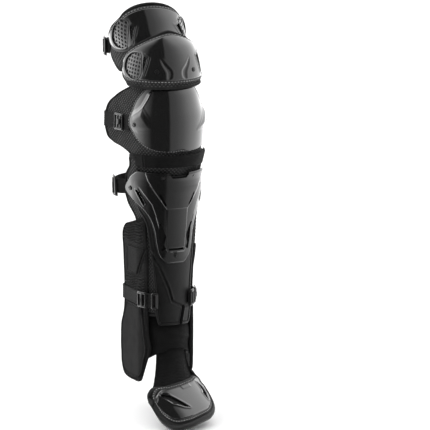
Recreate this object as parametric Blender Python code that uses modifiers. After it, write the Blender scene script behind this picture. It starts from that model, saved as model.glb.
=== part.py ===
"""Baseball catcher leg guard: padded liners, hard shells, side flaps, straps and a toe cap.

Metres, +Z up.  The origin is the centre of the knee on the axis of the leg, the guard
faces -Y and +X is to the right of someone who faces it.  A point of a liner is given by its
angle round the leg from the front, in degrees, and by its height as a share of its form.
"""
from collections import namedtuple
from math import cos, pi, radians, sin

import bmesh
import bpy
import numpy as np
from mathutils import Matrix, Vector

MM = 0.001

# Walls and clearances
PAD = 8.0 * MM
LINER = 6.0 * MM
PLATE = 2.8 * MM
PANEL = 4.0 * MM
BAND = 2.4 * MM
CUFF = 2.6 * MM
FLAP = 3.6 * MM
TRIM = 1.4 * MM
WEB = 1.8 * MM
SEAT = 0.9 * MM
PLATE_SEAT = 1.4 * MM
CUT_REACH = 4.0 * MM

# Thigh
THIGH_FOOT = 60.0 * MM
THIGH_HEIGHT = 124.0 * MM
THIGH_HALF_WIDTH = 64.0 * MM
THIGH_DEPTH = 65.0 * MM
THIGH_BACK = 62.0 * MM
THIGH_SIDE = -4.0 * MM
THIGH_TURN = -4.5

# Upper knee
UPPER_FOOT = 52.0 * MM
UPPER_HEIGHT = 92.0 * MM
UPPER_HALF_WIDTH = 62.0 * MM
UPPER_DEPTH = 64.0 * MM
UPPER_BACK = 6.0 * MM

# Knee
KNEE_FOOT = -65.4 * MM
KNEE_HEIGHT = 131.4 * MM
KNEE_HALF_WIDTH = 65.0 * MM
KNEE_DEPTH = 70.5 * MM

# Knee band
BAND_FOOT = -87.0 * MM
BAND_HEIGHT = 22.0 * MM
BAND_HALF_WIDTH = 65.5 * MM
BAND_DEPTH = 68.5 * MM

# Shin
SHIN_FOOT = -366.0 * MM
SHIN_HEIGHT = 300.0 * MM
SHIN_HALF_WIDTH = 60.0 * MM
SHIN_DEPTH = 58.0 * MM
SHIN_BACK = 2.0 * MM

# Calf and ankle
FLAP_FOOT = -465.0 * MM
FLAP_HEIGHT = 290.0 * MM
FLAP_HALF_WIDTH = 58.5 * MM
CUFF_FOOT = -432.0 * MM
CUFF_HEIGHT = 100.0 * MM
CUFF_HALF_WIDTH = 45.0 * MM
CUFF_DEPTH = 43.0 * MM

# Toe
TOE_TURN = 14.0
TOE_PIVOT_BACK = -45.0 * MM
TOE_TOP = -469.0 * MM
TOE_HALF_WIDTH = 50.0 * MM
TOE_LENGTH = 66.0 * MM
TOE_FALL = 40.0 * MM
TOE_ARCH = 12.0 * MM
TOE_RIM = 8.0 * MM

# Straps and fittings
STRAP_WIDTH = 25.0 * MM
ANKLE_STRAP_WIDTH = 24.0 * MM
HOOK = 3.0 * MM
RIVET_RADIUS = 4.0 * MM
RIVET_HEIGHT = 1.6 * MM
RIVET_SEAT = 0.5 * MM

Form = namedtuple("Form", "foot height half_width depth back side turn wing_start flare table")

# Sections of the forms, foot to top, with columns: height share, then half width, depth,
# back and side as shares of the form's own sizes
THIGH_SECTIONS = [
    (0.00, 0.955, 1.250, 0.620, 0.0),
    (0.24, 0.970, 1.560, 0.860, 0.1),
    (0.40, 0.970, 1.180, 0.920, 0.4),
    (0.58, 1.000, 1.000, 1.000, 1.0),
    (0.81, 0.985, 0.985, 1.210, 1.5),
    (1.00, 0.940, 0.940, 1.400, 2.0),
]
UPPER_SECTIONS = [
    (0.00, 1.000, 1.010, 0.2, 0.0),
    (0.25, 1.010, 1.010, 0.4, 0.0),
    (0.46, 0.950, 0.985, 0.8, 0.2),
    (0.58, 0.900, 0.955, 1.1, 0.3),
    (0.71, 0.810, 0.890, 1.5, 0.5),
    (0.79, 0.700, 0.820, 1.8, 0.6),
    (0.88, 0.540, 0.720, 2.2, 0.7),
    (1.00, 0.360, 0.580, 2.6, 0.8),
]
KNEE_SECTIONS = [
    (0.00, 0.965, 0.960, 0.0, 0.0),
    (0.16, 0.985, 0.985, 0.0, 0.0),
    (0.37, 1.000, 1.000, 0.0, 0.0),
    (0.48, 0.985, 0.990, 0.0, 0.0),
    (0.60, 0.920, 0.930, 0.0, 0.0),
    (0.76, 0.840, 0.850, 0.0, 0.0),
    (0.88, 0.770, 0.750, 0.0, 0.0),
    (1.00, 0.780, 0.762, 0.0, 0.0),
]
SHIN_SECTIONS = [
    (0.00, 0.765, 0.740, 1.0, 0.0),
    (0.12, 0.800, 0.740, 1.0, 0.0),
    (0.24, 0.835, 0.745, 1.3, 0.0),
    (0.42, 0.865, 0.765, 1.5, 0.0),
    (0.57, 0.880, 0.800, 1.5, 0.0),
    (0.68, 0.920, 0.860, 1.2, 0.0),
    (0.79, 0.955, 0.930, 1.0, 0.0),
    (0.86, 0.990, 0.990, 1.0, 0.0),
    (0.93, 1.033, 1.105, 0.5, 0.0),
    (1.00, 1.113, 1.205, 0.0, 0.0),
]
FLAP_SECTIONS = [
    (0.00, 0.855, 0.850, 0.0, 0.0),
    (0.25, 0.880, 0.870, 0.0, 0.0),
    (0.50, 0.915, 0.860, 0.0, 0.0),
    (0.75, 0.955, 0.880, 0.0, 0.0),
    (1.00, 1.000, 0.905, 0.0, 0.0),
]
CUFF_SECTIONS = [
    (0.00, 0.965, 0.985, 0.0, 0.0),
    (0.30, 0.965, 0.985, 0.0, 0.0),
    (0.58, 0.955, 0.950, 0.0, 0.0),
    (0.70, 0.885, 0.830, 0.0, 0.0),
    (0.80, 0.878, 0.795, 0.0, 0.0),
    (1.00, 0.878, 0.795, 0.0, 0.0),
]
BAND_SECTIONS = [
    (0.00, 0.992, 0.994, 0.0, 0.0),
    (1.00, 1.068, 1.086, 0.0, 0.0),
]

thigh_form = Form(THIGH_FOOT, THIGH_HEIGHT, THIGH_HALF_WIDTH, THIGH_DEPTH, THIGH_BACK,
                  THIGH_SIDE, THIGH_TURN, 130.0, 0.0, THIGH_SECTIONS)
upper_form = Form(UPPER_FOOT, UPPER_HEIGHT, UPPER_HALF_WIDTH, UPPER_DEPTH, UPPER_BACK,
                  -2.0 * MM, 0.0, 130.0, 0.0, UPPER_SECTIONS)
knee_form = Form(KNEE_FOOT, KNEE_HEIGHT, KNEE_HALF_WIDTH, KNEE_DEPTH, 0.0,
                 0.0, 0.0, 80.0, 0.24, KNEE_SECTIONS)
shin_form = Form(SHIN_FOOT, SHIN_HEIGHT, SHIN_HALF_WIDTH, SHIN_DEPTH, SHIN_BACK,
                 0.0, 0.0, 80.0, 0.15, SHIN_SECTIONS)
flap_form = Form(FLAP_FOOT, FLAP_HEIGHT, FLAP_HALF_WIDTH, FLAP_HALF_WIDTH, 0.0,
                 0.0, 0.0, 84.0, 0.04, FLAP_SECTIONS)
cuff_form = Form(CUFF_FOOT, CUFF_HEIGHT, CUFF_HALF_WIDTH, CUFF_DEPTH, 0.0,
                 0.0, 0.0, 130.0, 0.0, CUFF_SECTIONS)
band_form = Form(BAND_FOOT, BAND_HEIGHT, BAND_HALF_WIDTH, BAND_DEPTH, 0.0,
                 0.0, 0.0, 130.0, 0.0, BAND_SECTIONS)


def start_scene():
    for thing in list(bpy.data.objects):
        bpy.data.objects.remove(thing, do_unlink=True)
    for group in list(bpy.data.collections):
        bpy.data.collections.remove(group)
    made = {}
    for name in ("catcher_leg_guard", "cutters"):
        made[name] = bpy.data.collections.new(name)
        bpy.context.scene.collection.children.link(made[name])
    return made["catcher_leg_guard"], made["cutters"]


def finish(name, colour, roughness, metallic=0.0):
    made = bpy.data.materials.new(name)
    made.use_nodes = True
    shader = made.node_tree.nodes["Principled BSDF"]
    shader.inputs["Base Color"].default_value = (*colour, 1.0)
    shader.inputs["Roughness"].default_value = roughness
    shader.inputs["Metallic"].default_value = metallic
    return made


def smooth(places, values, at):
    """Smooth curve through values at places, by cubic pieces with averaged slopes."""
    places, values = np.asarray(places, float), np.asarray(values, float)
    slopes = np.gradient(values, places)
    at = np.clip(at, places[0], places[-1])
    left = np.clip(np.searchsorted(places, at, side="right") - 1, 0, len(places) - 2)
    span = places[left + 1] - places[left]
    t = (at - places[left]) / span
    return ((2 * t**3 - 3 * t**2 + 1) * values[left] + (t**3 - 2 * t**2 + t) * span * slopes[left]
            + (3 * t**2 - 2 * t**3) * values[left + 1] + (t**3 - t**2) * span * slopes[left + 1])


def curve_through(points, count, scale=(1.0, 1.0)):
    """Evenly spaced points on a smooth curve through a short list, with a length for each unit."""
    points = np.asarray(points, float)
    steps = np.linalg.norm(np.diff(points * np.asarray(scale), axis=0), axis=1)
    along = np.concatenate([[0.0], np.cumsum(steps)])
    at = np.linspace(0.0, along[-1], count)
    return np.stack([smooth(along, points[:, k], at) for k in range(points.shape[1])], axis=1)


def plain_point(form, angle, share):
    """Point on a form: an ellipse at each height that runs on straight behind its wing start."""
    columns = np.asarray(form.table, float)
    wide, deep, back, side = (smooth(columns[:, 0], columns[:, k], share) for k in range(1, 5))
    wide, deep = wide * form.half_width, deep * form.depth
    held = np.clip(angle, -form.wing_start, form.wing_start)
    beyond = np.radians(np.abs(angle) - np.abs(held)) * form.half_width
    turned = np.radians(held + form.turn)
    x = wide * np.sin(turned) + side * form.side + np.sign(angle) * beyond * form.flare
    y = back * form.back - deep * np.cos(turned) + beyond * (1.0 - form.flare**2) ** 0.5
    return np.stack([x, y, form.foot + share * form.height], axis=-1)


def facing(form, angle, share):
    """Outward direction of a form, from the steps to its near points round and up."""
    round_step = plain_point(form, angle + 0.5, share) - plain_point(form, angle - 0.5, share)
    low, high = np.maximum(share - 0.01, 0.0), np.minimum(share + 0.01, 1.0)
    up_step = plain_point(form, angle, high) - plain_point(form, angle, low)
    out = np.cross(round_step, up_step)
    return out / np.linalg.norm(out, axis=-1, keepdims=True)


def on_form(form, angle, share, out=0.0):
    angle, share = np.asarray(angle, float), np.asarray(share, float)
    return plain_point(form, angle, share) + facing(form, angle, share) * out


def mirrored(half):
    """Whole edge from its left half, which runs from the left end to the middle."""
    right = [(-angle, share) for angle, share in reversed(half)]
    return list(half) + (right[1:] if half[-1][0] == 0.0 else right)


def put_mesh(name, points, faces, group, material=None):
    mesh = bpy.data.meshes.new(name)
    mesh.from_pydata([tuple(p) for p in points], [], faces)
    mesh.update()
    thing = bpy.data.objects.new(name, mesh)
    group.objects.link(thing)
    if material is not None:
        mesh.materials.append(material)
        mesh.shade_smooth()
    return thing


def grid_faces(rows, columns):
    return [(j * columns + i, j * columns + i + 1, (j + 1) * columns + i + 1, (j + 1) * columns + i)
            for j in range(rows - 1) for i in range(columns - 1)]


def sheet(name, points, wall, material, outward=None):
    """Open grid of points, rows by columns, given a wall that lies inside its face."""
    rows, columns = points.shape[:2]
    faces = grid_faces(rows, columns)
    central = (rows - 1) // 2 * (columns - 1) + (columns - 1) // 2
    a, b, c, d = (points.reshape(-1, 3)[k] for k in faces[central])
    normal = np.cross(c - a, d - b)
    middle = (a + b + c + d) / 4.0
    away = outward if outward is not None else np.array([middle[0], middle[1], 0.0])
    if normal @ away < 0.0:
        faces = [face[::-1] for face in faces]
    thing = put_mesh(name, points.reshape(-1, 3), faces, parts, material)
    solid = thing.modifiers.new("wall", "SOLIDIFY")
    solid.thickness = wall
    solid.offset = -1.0
    return thing


def shell(name, form, first, last, size, out, wall, material, relief=None):
    """Shell ruled between two edges of a form, each a list of angle and height share."""
    along, across = size
    lengths = (form.half_width * pi / 180.0, form.height)
    a, b = curve_through(first, along, lengths), curve_through(last, along, lengths)
    t = np.linspace(0.0, 1.0, across)[:, None, None]
    field = (1.0 - t) * a + t * b
    angle, share = field[..., 0], field[..., 1]
    rise = out if relief is None else out + relief(angle, share)
    points = on_form(form, angle, share) + facing(form, angle, share) * np.asarray(rise)[..., None]
    middle = field[across // 2, along // 2]
    return sheet(name, points, wall, material, facing(form, middle[0], middle[1]))


def cut(thing, form, outlines):
    """Cuts each outline, a ring of angle and share, through a shell along its facing."""
    points, faces = [], []
    for ring in outlines:
        ring = np.asarray(ring, float)
        start, count = len(points), len(ring)
        for out in (-CUT_REACH, CUT_REACH + SEAT + PLATE):
            points.extend(on_form(form, ring[:, 0], ring[:, 1], out))
        low, high = list(range(start, start + count)), list(range(start + count, start + 2 * count))
        faces += [low[::-1], high]
        faces += [(low[k], low[(k + 1) % count], high[(k + 1) % count], high[k]) for k in range(count)]
    cutter = put_mesh(thing.name + "_cutter", points, faces, cutters)
    work = bmesh.new()
    work.from_mesh(cutter.data)
    bmesh.ops.recalc_face_normals(work, faces=work.faces)
    work.to_mesh(cutter.data)
    work.free()
    cutter.hide_render = True
    cutter.display_type = "WIRE"
    hole = thing.modifiers.new("openings", "BOOLEAN")
    hole.operation = "DIFFERENCE"
    hole.object = cutter
    return cutter


def net_window(form, centre_angle, centre_height, half_wide, half_high, columns, rows, bridge):
    """Rows of four-sided holes inside an oval window, in a form's angle and share."""
    per_degree = form.half_width * pi / 180.0
    holes = []
    step_x, step_z = 2.0 * half_wide / columns, 2.0 * half_high / rows
    for j in range(rows):
        for i in range(columns):
            x = (i + 0.5) * step_x - half_wide
            z = (j + 0.5) * step_z - half_high
            if (x / half_wide) ** 2 + (z / half_high) ** 2 > 0.82:
                continue
            w, h = (step_x - bridge) / 2.0, (step_z - bridge) / 2.0
            ring = [(x - w, z - h), (x + w, z - h), (x + w, z + h), (x - w, z + h)]
            holes.append([(centre_angle + a / per_degree, (centre_height + b - form.foot) / form.height)
                          for a, b in ring])
    return holes


def opening(form, points):
    """Ring of angle and height in millimetres, as a form's angle and share."""
    return [(angle, (height * MM - form.foot) / form.height) for angle, height in points]


def flipped(ring):
    return [(-angle, share) for angle, share in reversed(ring)]


def rivet(name, form, angle, height, out, material):
    """Low domed head that sits on a shell, along the shell's facing."""
    share = (height - form.foot) / form.height
    place = on_form(form, angle, share, out)
    direction = Vector(facing(form, np.float64(angle), np.float64(share)))
    work = bmesh.new()
    bmesh.ops.create_cone(work, cap_ends=True, segments=8, radius1=RIVET_RADIUS,
                          radius2=RIVET_RADIUS * 0.8, depth=RIVET_HEIGHT)
    bmesh.ops.translate(work, verts=work.verts, vec=(0.0, 0.0, RIVET_HEIGHT / 2.0))
    mesh = bpy.data.meshes.new(name)
    work.to_mesh(mesh)
    work.free()
    mesh.materials.append(material)
    thing = bpy.data.objects.new(name, mesh)
    thing.matrix_world = Matrix.Translation(Vector(place)) @ direction.to_track_quat("Z", "Y").to_matrix().to_4x4()
    parts.objects.link(thing)
    return thing


parts, cutters = start_scene()
gloss = finish("gloss_shell", (0.012, 0.012, 0.013), 0.12)
satin = finish("satin_shell", (0.015, 0.015, 0.016), 0.32)
moulded = finish("moulded_trim", (0.014, 0.014, 0.015), 0.45)
padding = finish("padding", (0.016, 0.016, 0.017), 0.8)
knit = finish("knit_fabric", (0.02, 0.02, 0.021), 0.9)
smooth_hide = finish("smooth_panel", (0.02, 0.02, 0.021), 0.55)
webbing = finish("webbing", (0.017, 0.017, 0.018), 0.85)

# Thigh: edges as angle and height share, left end to middle
thigh_pad_top = mirrored([(-116, 0.44), (-112, 0.52), (-100, 0.58), (-80, 0.68), (-59, 0.79),
                          (-48, 0.87), (-35, 0.935), (0, 1.0)])
thigh_pad_foot = mirrored([(-116, 0.40), (-108, 0.25), (-98, 0.10), (-88, 0.04), (-78, 0.10),
                           (-66, 0.26), (-50, 0.31), (0, 0.25)])
thigh_plate_top = mirrored([(-104, 0.51), (-98, 0.55), (-80, 0.64), (-59, 0.745), (-48, 0.82),
                            (-35, 0.88), (0, 0.94)])
thigh_plate_foot = mirrored([(-104, 0.45), (-98, 0.38), (-85, 0.33), (-66, 0.33), (-50, 0.38),
                             (-35, 0.42), (0, 0.42)])
WINDOW_WIDTH = 34.0 * MM
WINDOW_HEIGHT = 44.0 * MM
WINDOW_COLUMNS = 3
WINDOW_ROWS = 4
WINDOW_BRIDGE = 3.0 * MM
THIGH_WINDOW_ANGLE = 68.0
UPPER_WINDOW_ANGLE = 62.0
THIGH_WINDOW_HEIGHT = 125.0 * MM
UPPER_WINDOW_HEIGHT = 88.0 * MM
slit = [(-41, 15), (-37, 12), (-40, 0), (-44, -15)]


def windows_and_slits(form, height, angle, slit_shift):
    holes = net_window(form, -angle, height, WINDOW_WIDTH / 2.0, WINDOW_HEIGHT / 2.0,
                       WINDOW_COLUMNS, WINDOW_ROWS, WINDOW_BRIDGE)
    middle = height / MM
    holes.append(opening(form, [(angle + slit_shift, middle + z) for angle, z in slit]))
    return holes + [flipped(ring) for ring in holes]


def thigh_and_upper_knee():
    shell("thigh_pad", thigh_form, thigh_pad_top, thigh_pad_foot, (18, 8), 0.0, PAD, padding)
    plate = shell("thigh_plate", thigh_form, thigh_plate_top, thigh_plate_foot, (20, 7),
                  PLATE_SEAT + PLATE, PLATE, gloss)
    cut(plate, thigh_form, windows_and_slits(thigh_form, THIGH_WINDOW_HEIGHT,
                                         THIGH_WINDOW_ANGLE, 0.0))
    top = mirrored([(-87, 0.42), (-84, 0.50), (-78, 0.60), (-68, 0.71), (-51, 0.84), (-28, 0.935), (0, 0.975)])
    foot = mirrored([(-87, 0.30), (-88, 0.14), (-84, 0.05), (-60, 0.01), (0, 0.0)])
    shell("upper_knee_pad", upper_form, top, foot, (17, 8), 0.0, PAD, padding)
    top = mirrored([(-81, 0.44), (-78, 0.52), (-70, 0.62), (-50, 0.76), (-27, 0.86), (0, 0.90)])
    foot = mirrored([(-81, 0.34), (-81, 0.22), (-75, 0.14), (-50, 0.11), (0, 0.10)])
    plate = shell("upper_knee_plate", upper_form, top, foot, (19, 9), SEAT + PLATE, PLATE, gloss)
    cut(plate, upper_form, windows_and_slits(upper_form, UPPER_WINDOW_HEIGHT,
                                         UPPER_WINDOW_ANGLE, 1.0))


def sides(left):
    return left, [(-angle, share) for angle, share in left]


def knee():
    left, right = sides([(-55, 1.0), (-84, 0.93), (-96, 0.86), (-125, 0.69), (-137, 0.56),
                         (-139, 0.36), (-137, 0.20), (-129, 0.11), (-113, 0.06), (-94, 0.04), (-60, 0.0)])
    shell("knee_pad", knee_form, left, right, (13, 16), 0.0, LINER, knit)
    left, right = sides([(-40, 0.862), (-64, 0.80), (-80, 0.63), (-82, 0.48), (-74, 0.27),
                         (-61, 0.155), (-45, 0.085), (-20, 0.055)])
    shell("knee_plate", knee_form, left, right, (12, 14), PLATE_SEAT + PLATE, PLATE, gloss)
    top, foot = mirrored([(-75, 1.0), (0, 1.0)]), mirrored([(-75, 0.0), (0, 0.0)])
    shell("knee_band", band_form, top, foot, (18, 2), 0.0, BAND, knit)


def shin():
    left, right = sides([(-84, 0.9945), (-86, 0.93), (-95, 0.885), (-106, 0.825), (-106, 0.75),
                         (-95, 0.70), (-80, 0.62), (-79, 0.50), (-78, 0.30), (-76, 0.05)])
    shell("shin_pad", shin_form, left, right, (17, 11), 0.0, LINER, padding)
    left, right = sides([(-62, 0.885), (-82, 0.80), (-80, 0.735), (-69, 0.68), (-57, 0.627), (-48, 0.503),
                         (-43, 0.387), (-39, 0.22), (-38, 0.06), (-34, 0.003)])
    shell("shin_panel", shin_form, left, right, (12, 16), SEAT + PANEL, PANEL, padding)
    left, right = sides([(-66, 0.91), (-86, 0.853), (-101, 0.79), (-84, 0.745), (-69, 0.717),
                         (-49, 0.653), (-39, 0.567), (-35, 0.48), (-30, 0.417), (-17, 0.367)])
    seat = SEAT + PANEL + PLATE_SEAT
    plate = shell("shin_plate", shin_form, left, right, (13, 15), seat + PLATE, PLATE, satin)
    vents = [[(-28, 0.78), (-24, 0.775), (-17, 0.735), (-17, 0.715), (-21, 0.73)],
             [(-27, 0.59), (-25, 0.585), (-18, 0.48), (-18.5, 0.455), (-22, 0.44), (-26, 0.52)],
             [(-68, 0.80), (-64, 0.80), (-52, 0.725), (-54, 0.712)]]
    slot = [(-13, 0.448), (13, 0.448), (13, 0.462), (-13, 0.462)]
    notch = [(-16, 0.96), (-16, 0.905), (-10.6, 0.878), (10.6, 0.878), (16, 0.905), (16, 0.96)]
    cut(plate, shin_form, vents + [flipped(ring) for ring in vents] + [slot, notch])


def side_flap(name, side):
    front = [(-68, 1.0), (-64, 0.90), (-58, 0.75), (-57, 0.55), (-57, 0.38), (-55, 0.27), (-51, 0.19),
             (-68, 0.09), (-95, 0.015)]
    rear = [(-128, 0.955), (-138, 0.90), (-139, 0.75), (-139, 0.55), (-142, 0.40), (-152, 0.29),
            (-154, 0.19), (-150, 0.09), (-132, 0.01)]
    for title, first, last, size, out, wall, material in (
            ("calf_flap", front, rear, (13, 7), 0.0, FLAP, knit),
            ("calf_patch", [(-64, 0.775), (-88, 0.65)], [(-117, 0.765), (-120, 0.648)], (4, 6),
             SEAT + TRIM, TRIM, smooth_hide),
            ("ankle_panel", [(-79, 0.45), (-73, 0.38), (-69, 0.30), (-66, 0.21), (-74, 0.11), (-95, 0.045)],
             [(-124, 0.45), (-132, 0.40), (-146, 0.31), (-148, 0.20), (-144, 0.10), (-130, 0.035)],
             (8, 6), SEAT + TRIM, TRIM, smooth_hide)):
        first, last = [[(-side * angle, share) for angle, share in edge] for edge in (first, last)]
        shell(title + "_" + name, flap_form, first, last, size, out, wall, material)


def cuff():
    top = mirrored([(-104, 0.99), (0, 0.99)])
    foot = mirrored([(-104, 0.0), (-73, 0.03), (-35, 0.17), (0, 0.26)])
    shell("ankle_cuff", cuff_form, top, foot, (15, 9), 0.0, CUFF, knit)


def toe_point(across, forward, out=0.0):
    """Toe cap over the foot: slopes down forward, falls away to the sides, turned outward."""
    across, forward = np.asarray(across, float), np.asarray(forward, float)
    turn = radians(TOE_TURN)
    x = across * cos(turn) + forward * sin(turn)
    y = TOE_PIVOT_BACK + across * sin(turn) - forward * cos(turn)
    slope = TOE_FALL / (TOE_LENGTH * 0.85)
    z = TOE_TOP - slope * (forward - 0.15 * TOE_LENGTH) - TOE_ARCH * np.abs(across / TOE_HALF_WIDTH) ** 2.2
    return np.stack([x, y, z + out * (1.0 + slope**2) ** 0.5], axis=-1)


# Toe cap edges as shares of the half width and the length
toe_rear = [(-1.0, 0.05), (-0.94, -0.05), (-0.5, 0.09), (0.0, 0.15), (0.5, 0.09), (0.94, -0.05), (1.0, 0.05)]
toe_front = [(-1.0, 0.15), (-0.9, 0.52), (-0.72, 0.76), (-0.4, 0.94), (0.0, 1.0),
             (0.4, 0.94), (0.72, 0.76), (0.9, 0.52), (1.0, 0.15)]


def toe_sheet(name, size, rim, out, wall, material):
    along, across = size
    lengths = (TOE_HALF_WIDTH, TOE_LENGTH)
    a, b = curve_through(toe_rear, along, lengths), curve_through(toe_front, along, lengths)
    t = np.linspace(0.0, 1.0, across)[:, None, None]
    field = (1.0 - t) * a + t * b
    middle = 0.45 * TOE_LENGTH
    wide = field[..., 0] * (TOE_HALF_WIDTH + rim)
    long = middle + (field[..., 1] * TOE_LENGTH - middle) * (1.0 + rim / (0.5 * TOE_LENGTH))
    points = toe_point(wide, long, out)
    return sheet(name, points, wall, material, np.array([0.0, -0.5, 1.0]))


def toe_strap():
    """Flat strap straight across beneath the toe cap, from one side of its pad to the other."""
    under = -PAD - SEAT
    rows = []
    for forward in (0.30, 0.66):
        ends = [toe_point(side * 0.92 * TOE_HALF_WIDTH, forward * TOE_LENGTH, under) for side in (-1.0, 1.0)]
        rows.append(np.linspace(ends[0], ends[1], 7))
    sheet("toe_strap", np.stack(rows), WEB, webbing, np.array([0.0, -0.5, 1.0]))


def tongue():
    """Sheet from inside the cuff's hem to the rear edge of the toe cap."""
    across, down = 11, 7
    s = np.linspace(-1.0, 1.0, across)
    top = on_form(cuff_form, 46.0 * s, np.full(across, 0.36), -CUFF - 3.0 * SEAT)
    rear = curve_through(toe_rear, across, (TOE_HALF_WIDTH, TOE_LENGTH))
    long = TOE_LENGTH * 0.45 + (rear[:, 1] - 0.45) * (TOE_LENGTH + 2.0 * TOE_RIM) - 0.85 * PAD
    foot = toe_point(rear[:, 0] * (TOE_HALF_WIDTH + 0.9 * TOE_RIM), long)
    fall = top[:, 2:3] - foot[:, 2:3]
    held = top - fall * np.array([0.0, 0.0, 0.80])
    met = foot + fall * np.array([0.0, 0.08, 0.08])
    t = np.linspace(0.0, 1.0, down)[:, None, None]
    points = (1 - t) ** 3 * top + 3 * t * (1 - t) ** 2 * held + 3 * t**2 * (1 - t) * met + t**3 * foot
    sheet("instep_tongue", points, LINER * 0.6, knit, np.array([0.0, -1.0, 0.3]))


def route(form, share, start, edge, wide, back):
    """Plan of a strap: along a liner from start to its rear edge, then round the back of the leg."""
    side = on_form(form, -np.linspace(start, edge, 9), np.full(9, share))[:, :2]
    middle = side[-1, 1] + 0.22 * (back - side[-1, 1])
    centre = smooth(np.asarray(form.table)[:, 0], np.asarray(form.table)[:, 4], share) * form.side
    turn = np.linspace(0.0, pi, 9)
    rear = np.stack([centre - wide * np.cos(turn), middle + (back - middle) * np.sin(turn)], axis=1)
    other = on_form(form, np.linspace(edge, start, 9), np.full(9, share))[:, :2]
    return np.concatenate([side, rear, other])


def strip(name, edges, span, count, out, wall, material):
    """Strip between two plans, each with its height, from span[0] to span[1] of their length."""
    at, places = np.linspace(span[0], span[1], count), np.linspace(0.0, 1.0, 241)
    rows = []
    for path, height in edges:
        dense = curve_through(path, 241)
        x, y = (np.interp(at, places, dense[:, k]) for k in range(2))
        run_x, run_y = (np.interp(at, places, np.gradient(dense[:, k])) for k in range(2))
        length = np.hypot(run_x, run_y)
        rows.append(np.stack([x - run_y / length * out, y + run_x / length * out,
                              np.full(count, height)], axis=-1))
    away = np.array([-run_y[count // 2], run_x[count // 2], 0.0])
    return sheet(name, np.stack(rows), wall, material, away)


def straps():
    """Four loops of webbing, each with a hook at the left side and an anchor at the right."""
    rows = (
        ("thigh", thigh_form, 0.34, 109.0, 113.0, 66.0 * MM, 132.0 * MM, STRAP_WIDTH, (0.11, 0.17), 1.3, 0.0),
        ("knee", knee_form, 0.38, 112.0, 139.0, 82.0 * MM, 104.0 * MM, STRAP_WIDTH, (0.01, 0.055), 1.12, 0.0),
        ("calf", shin_form, 0.79, 103.5, 106.0, 71.0 * MM, 80.0 * MM, STRAP_WIDTH, (0.085, 0.17), 1.4, 0.0),
        ("ankle", flap_form, 0.50, 46.0, 139.0, 58.0 * MM, 74.0 * MM, ANKLE_STRAP_WIDTH, (0.05, 0.095), 1.1, 0.0),
    )
    for title, form, share, start, edge, wide, back, width, hook, tall, lift in rows:
        made = {}
        for reach in (1.0, tall):
            half = reach * width / 2.0
            made[reach] = [(route(form, share + rise / form.height, start, edge, wide, back),
                            form.foot + share * form.height + rise) for rise in (-half, half)]
        strip(title + "_strap", made[1.0], (0.0, 1.0), 29, lift + SEAT + WEB, WEB, webbing)
        for side, span in (("hook", hook), ("anchor", (1.0 - hook[1], 1.0 - hook[0]))):
            strip(title + "_" + side, made[tall], span, 4, lift + 2.0 * SEAT + WEB + HOOK, HOOK, moulded)


def rivets():
    upper_top = SEAT + PLATE + RIVET_SEAT
    knee_top = PLATE_SEAT + PLATE + RIVET_SEAT
    shin_top = SEAT + PANEL + knee_top
    for side, sign in (("left", -1.0), ("right", 1.0)):
        rivet("upper_knee_rivet_" + side, upper_form, sign * 29.0, UPPER_FOOT + 24.5 * MM, upper_top, moulded)
        rivet("knee_rivet_" + side, knee_form, sign * 68.0, -15.0 * MM, knee_top, moulded)
        rivet("shin_wing_rivet_" + side, shin_form, sign * 82.0, -126.0 * MM, shin_top, moulded)
        rivet("shin_top_rivet_" + side, shin_form, sign * 24.0, -100.0 * MM, shin_top, moulded)
    rivet("shin_bottom_rivet", shin_form, 0.0, -241.0 * MM, shin_top, moulded)


thigh_and_upper_knee()
knee()
shin()
side_flap("left", -1.0)
side_flap("right", 1.0)
cuff()
toe_sheet("toe_pad", (17, 6), TOE_RIM, 0.0, PAD, padding)
toe_sheet("toe_plate", (16, 6), 0.0, SEAT + PLATE, PLATE, gloss)
tongue()
toe_strap()
straps()
rivets()
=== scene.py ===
"""Looks of a baseball catcher leg guard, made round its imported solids.

Metres, +Z up, the guard faces -Y.  Pieces are surfaces over the forms of the leg: a place on a
form is an angle round the leg from the front, in degrees, and a height.  Reliefs and outlines
are in millimetres, as x, the length round the form, and z, the height.
"""
from collections import namedtuple
from math import cos, pi, radians, sin

import bpy
import numpy as np
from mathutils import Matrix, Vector


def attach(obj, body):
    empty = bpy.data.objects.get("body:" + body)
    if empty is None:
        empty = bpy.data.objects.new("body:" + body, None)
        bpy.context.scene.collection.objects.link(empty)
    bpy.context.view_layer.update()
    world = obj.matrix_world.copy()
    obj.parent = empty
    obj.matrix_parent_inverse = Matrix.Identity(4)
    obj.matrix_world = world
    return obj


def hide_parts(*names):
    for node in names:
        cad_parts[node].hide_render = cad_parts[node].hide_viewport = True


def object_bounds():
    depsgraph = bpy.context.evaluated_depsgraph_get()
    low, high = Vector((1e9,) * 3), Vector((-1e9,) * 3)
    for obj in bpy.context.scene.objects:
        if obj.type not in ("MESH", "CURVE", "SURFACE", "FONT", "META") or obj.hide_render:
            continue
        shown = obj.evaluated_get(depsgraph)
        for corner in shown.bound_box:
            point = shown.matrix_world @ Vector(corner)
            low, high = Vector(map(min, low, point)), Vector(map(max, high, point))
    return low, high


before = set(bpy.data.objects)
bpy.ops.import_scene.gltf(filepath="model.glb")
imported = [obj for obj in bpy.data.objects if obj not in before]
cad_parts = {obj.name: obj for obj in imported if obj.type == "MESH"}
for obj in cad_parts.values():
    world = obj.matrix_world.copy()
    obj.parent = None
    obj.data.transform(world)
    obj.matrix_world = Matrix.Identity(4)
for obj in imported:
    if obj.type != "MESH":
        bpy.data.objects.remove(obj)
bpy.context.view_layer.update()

MM = 0.001

# Walls of the pieces, and what the liners leave under shells and straps, in millimetres
PAD, LINER, PANEL, FLAP = 7.6, 5.6, 4.0, 3.4
SHELL, BAND, CUFF, WEB, SEAT = 2.8, 2.4, 2.6, 1.8, 0.9

Form = namedtuple("Form", "foot height half_width depth back side turn wing_start flare table")

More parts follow.
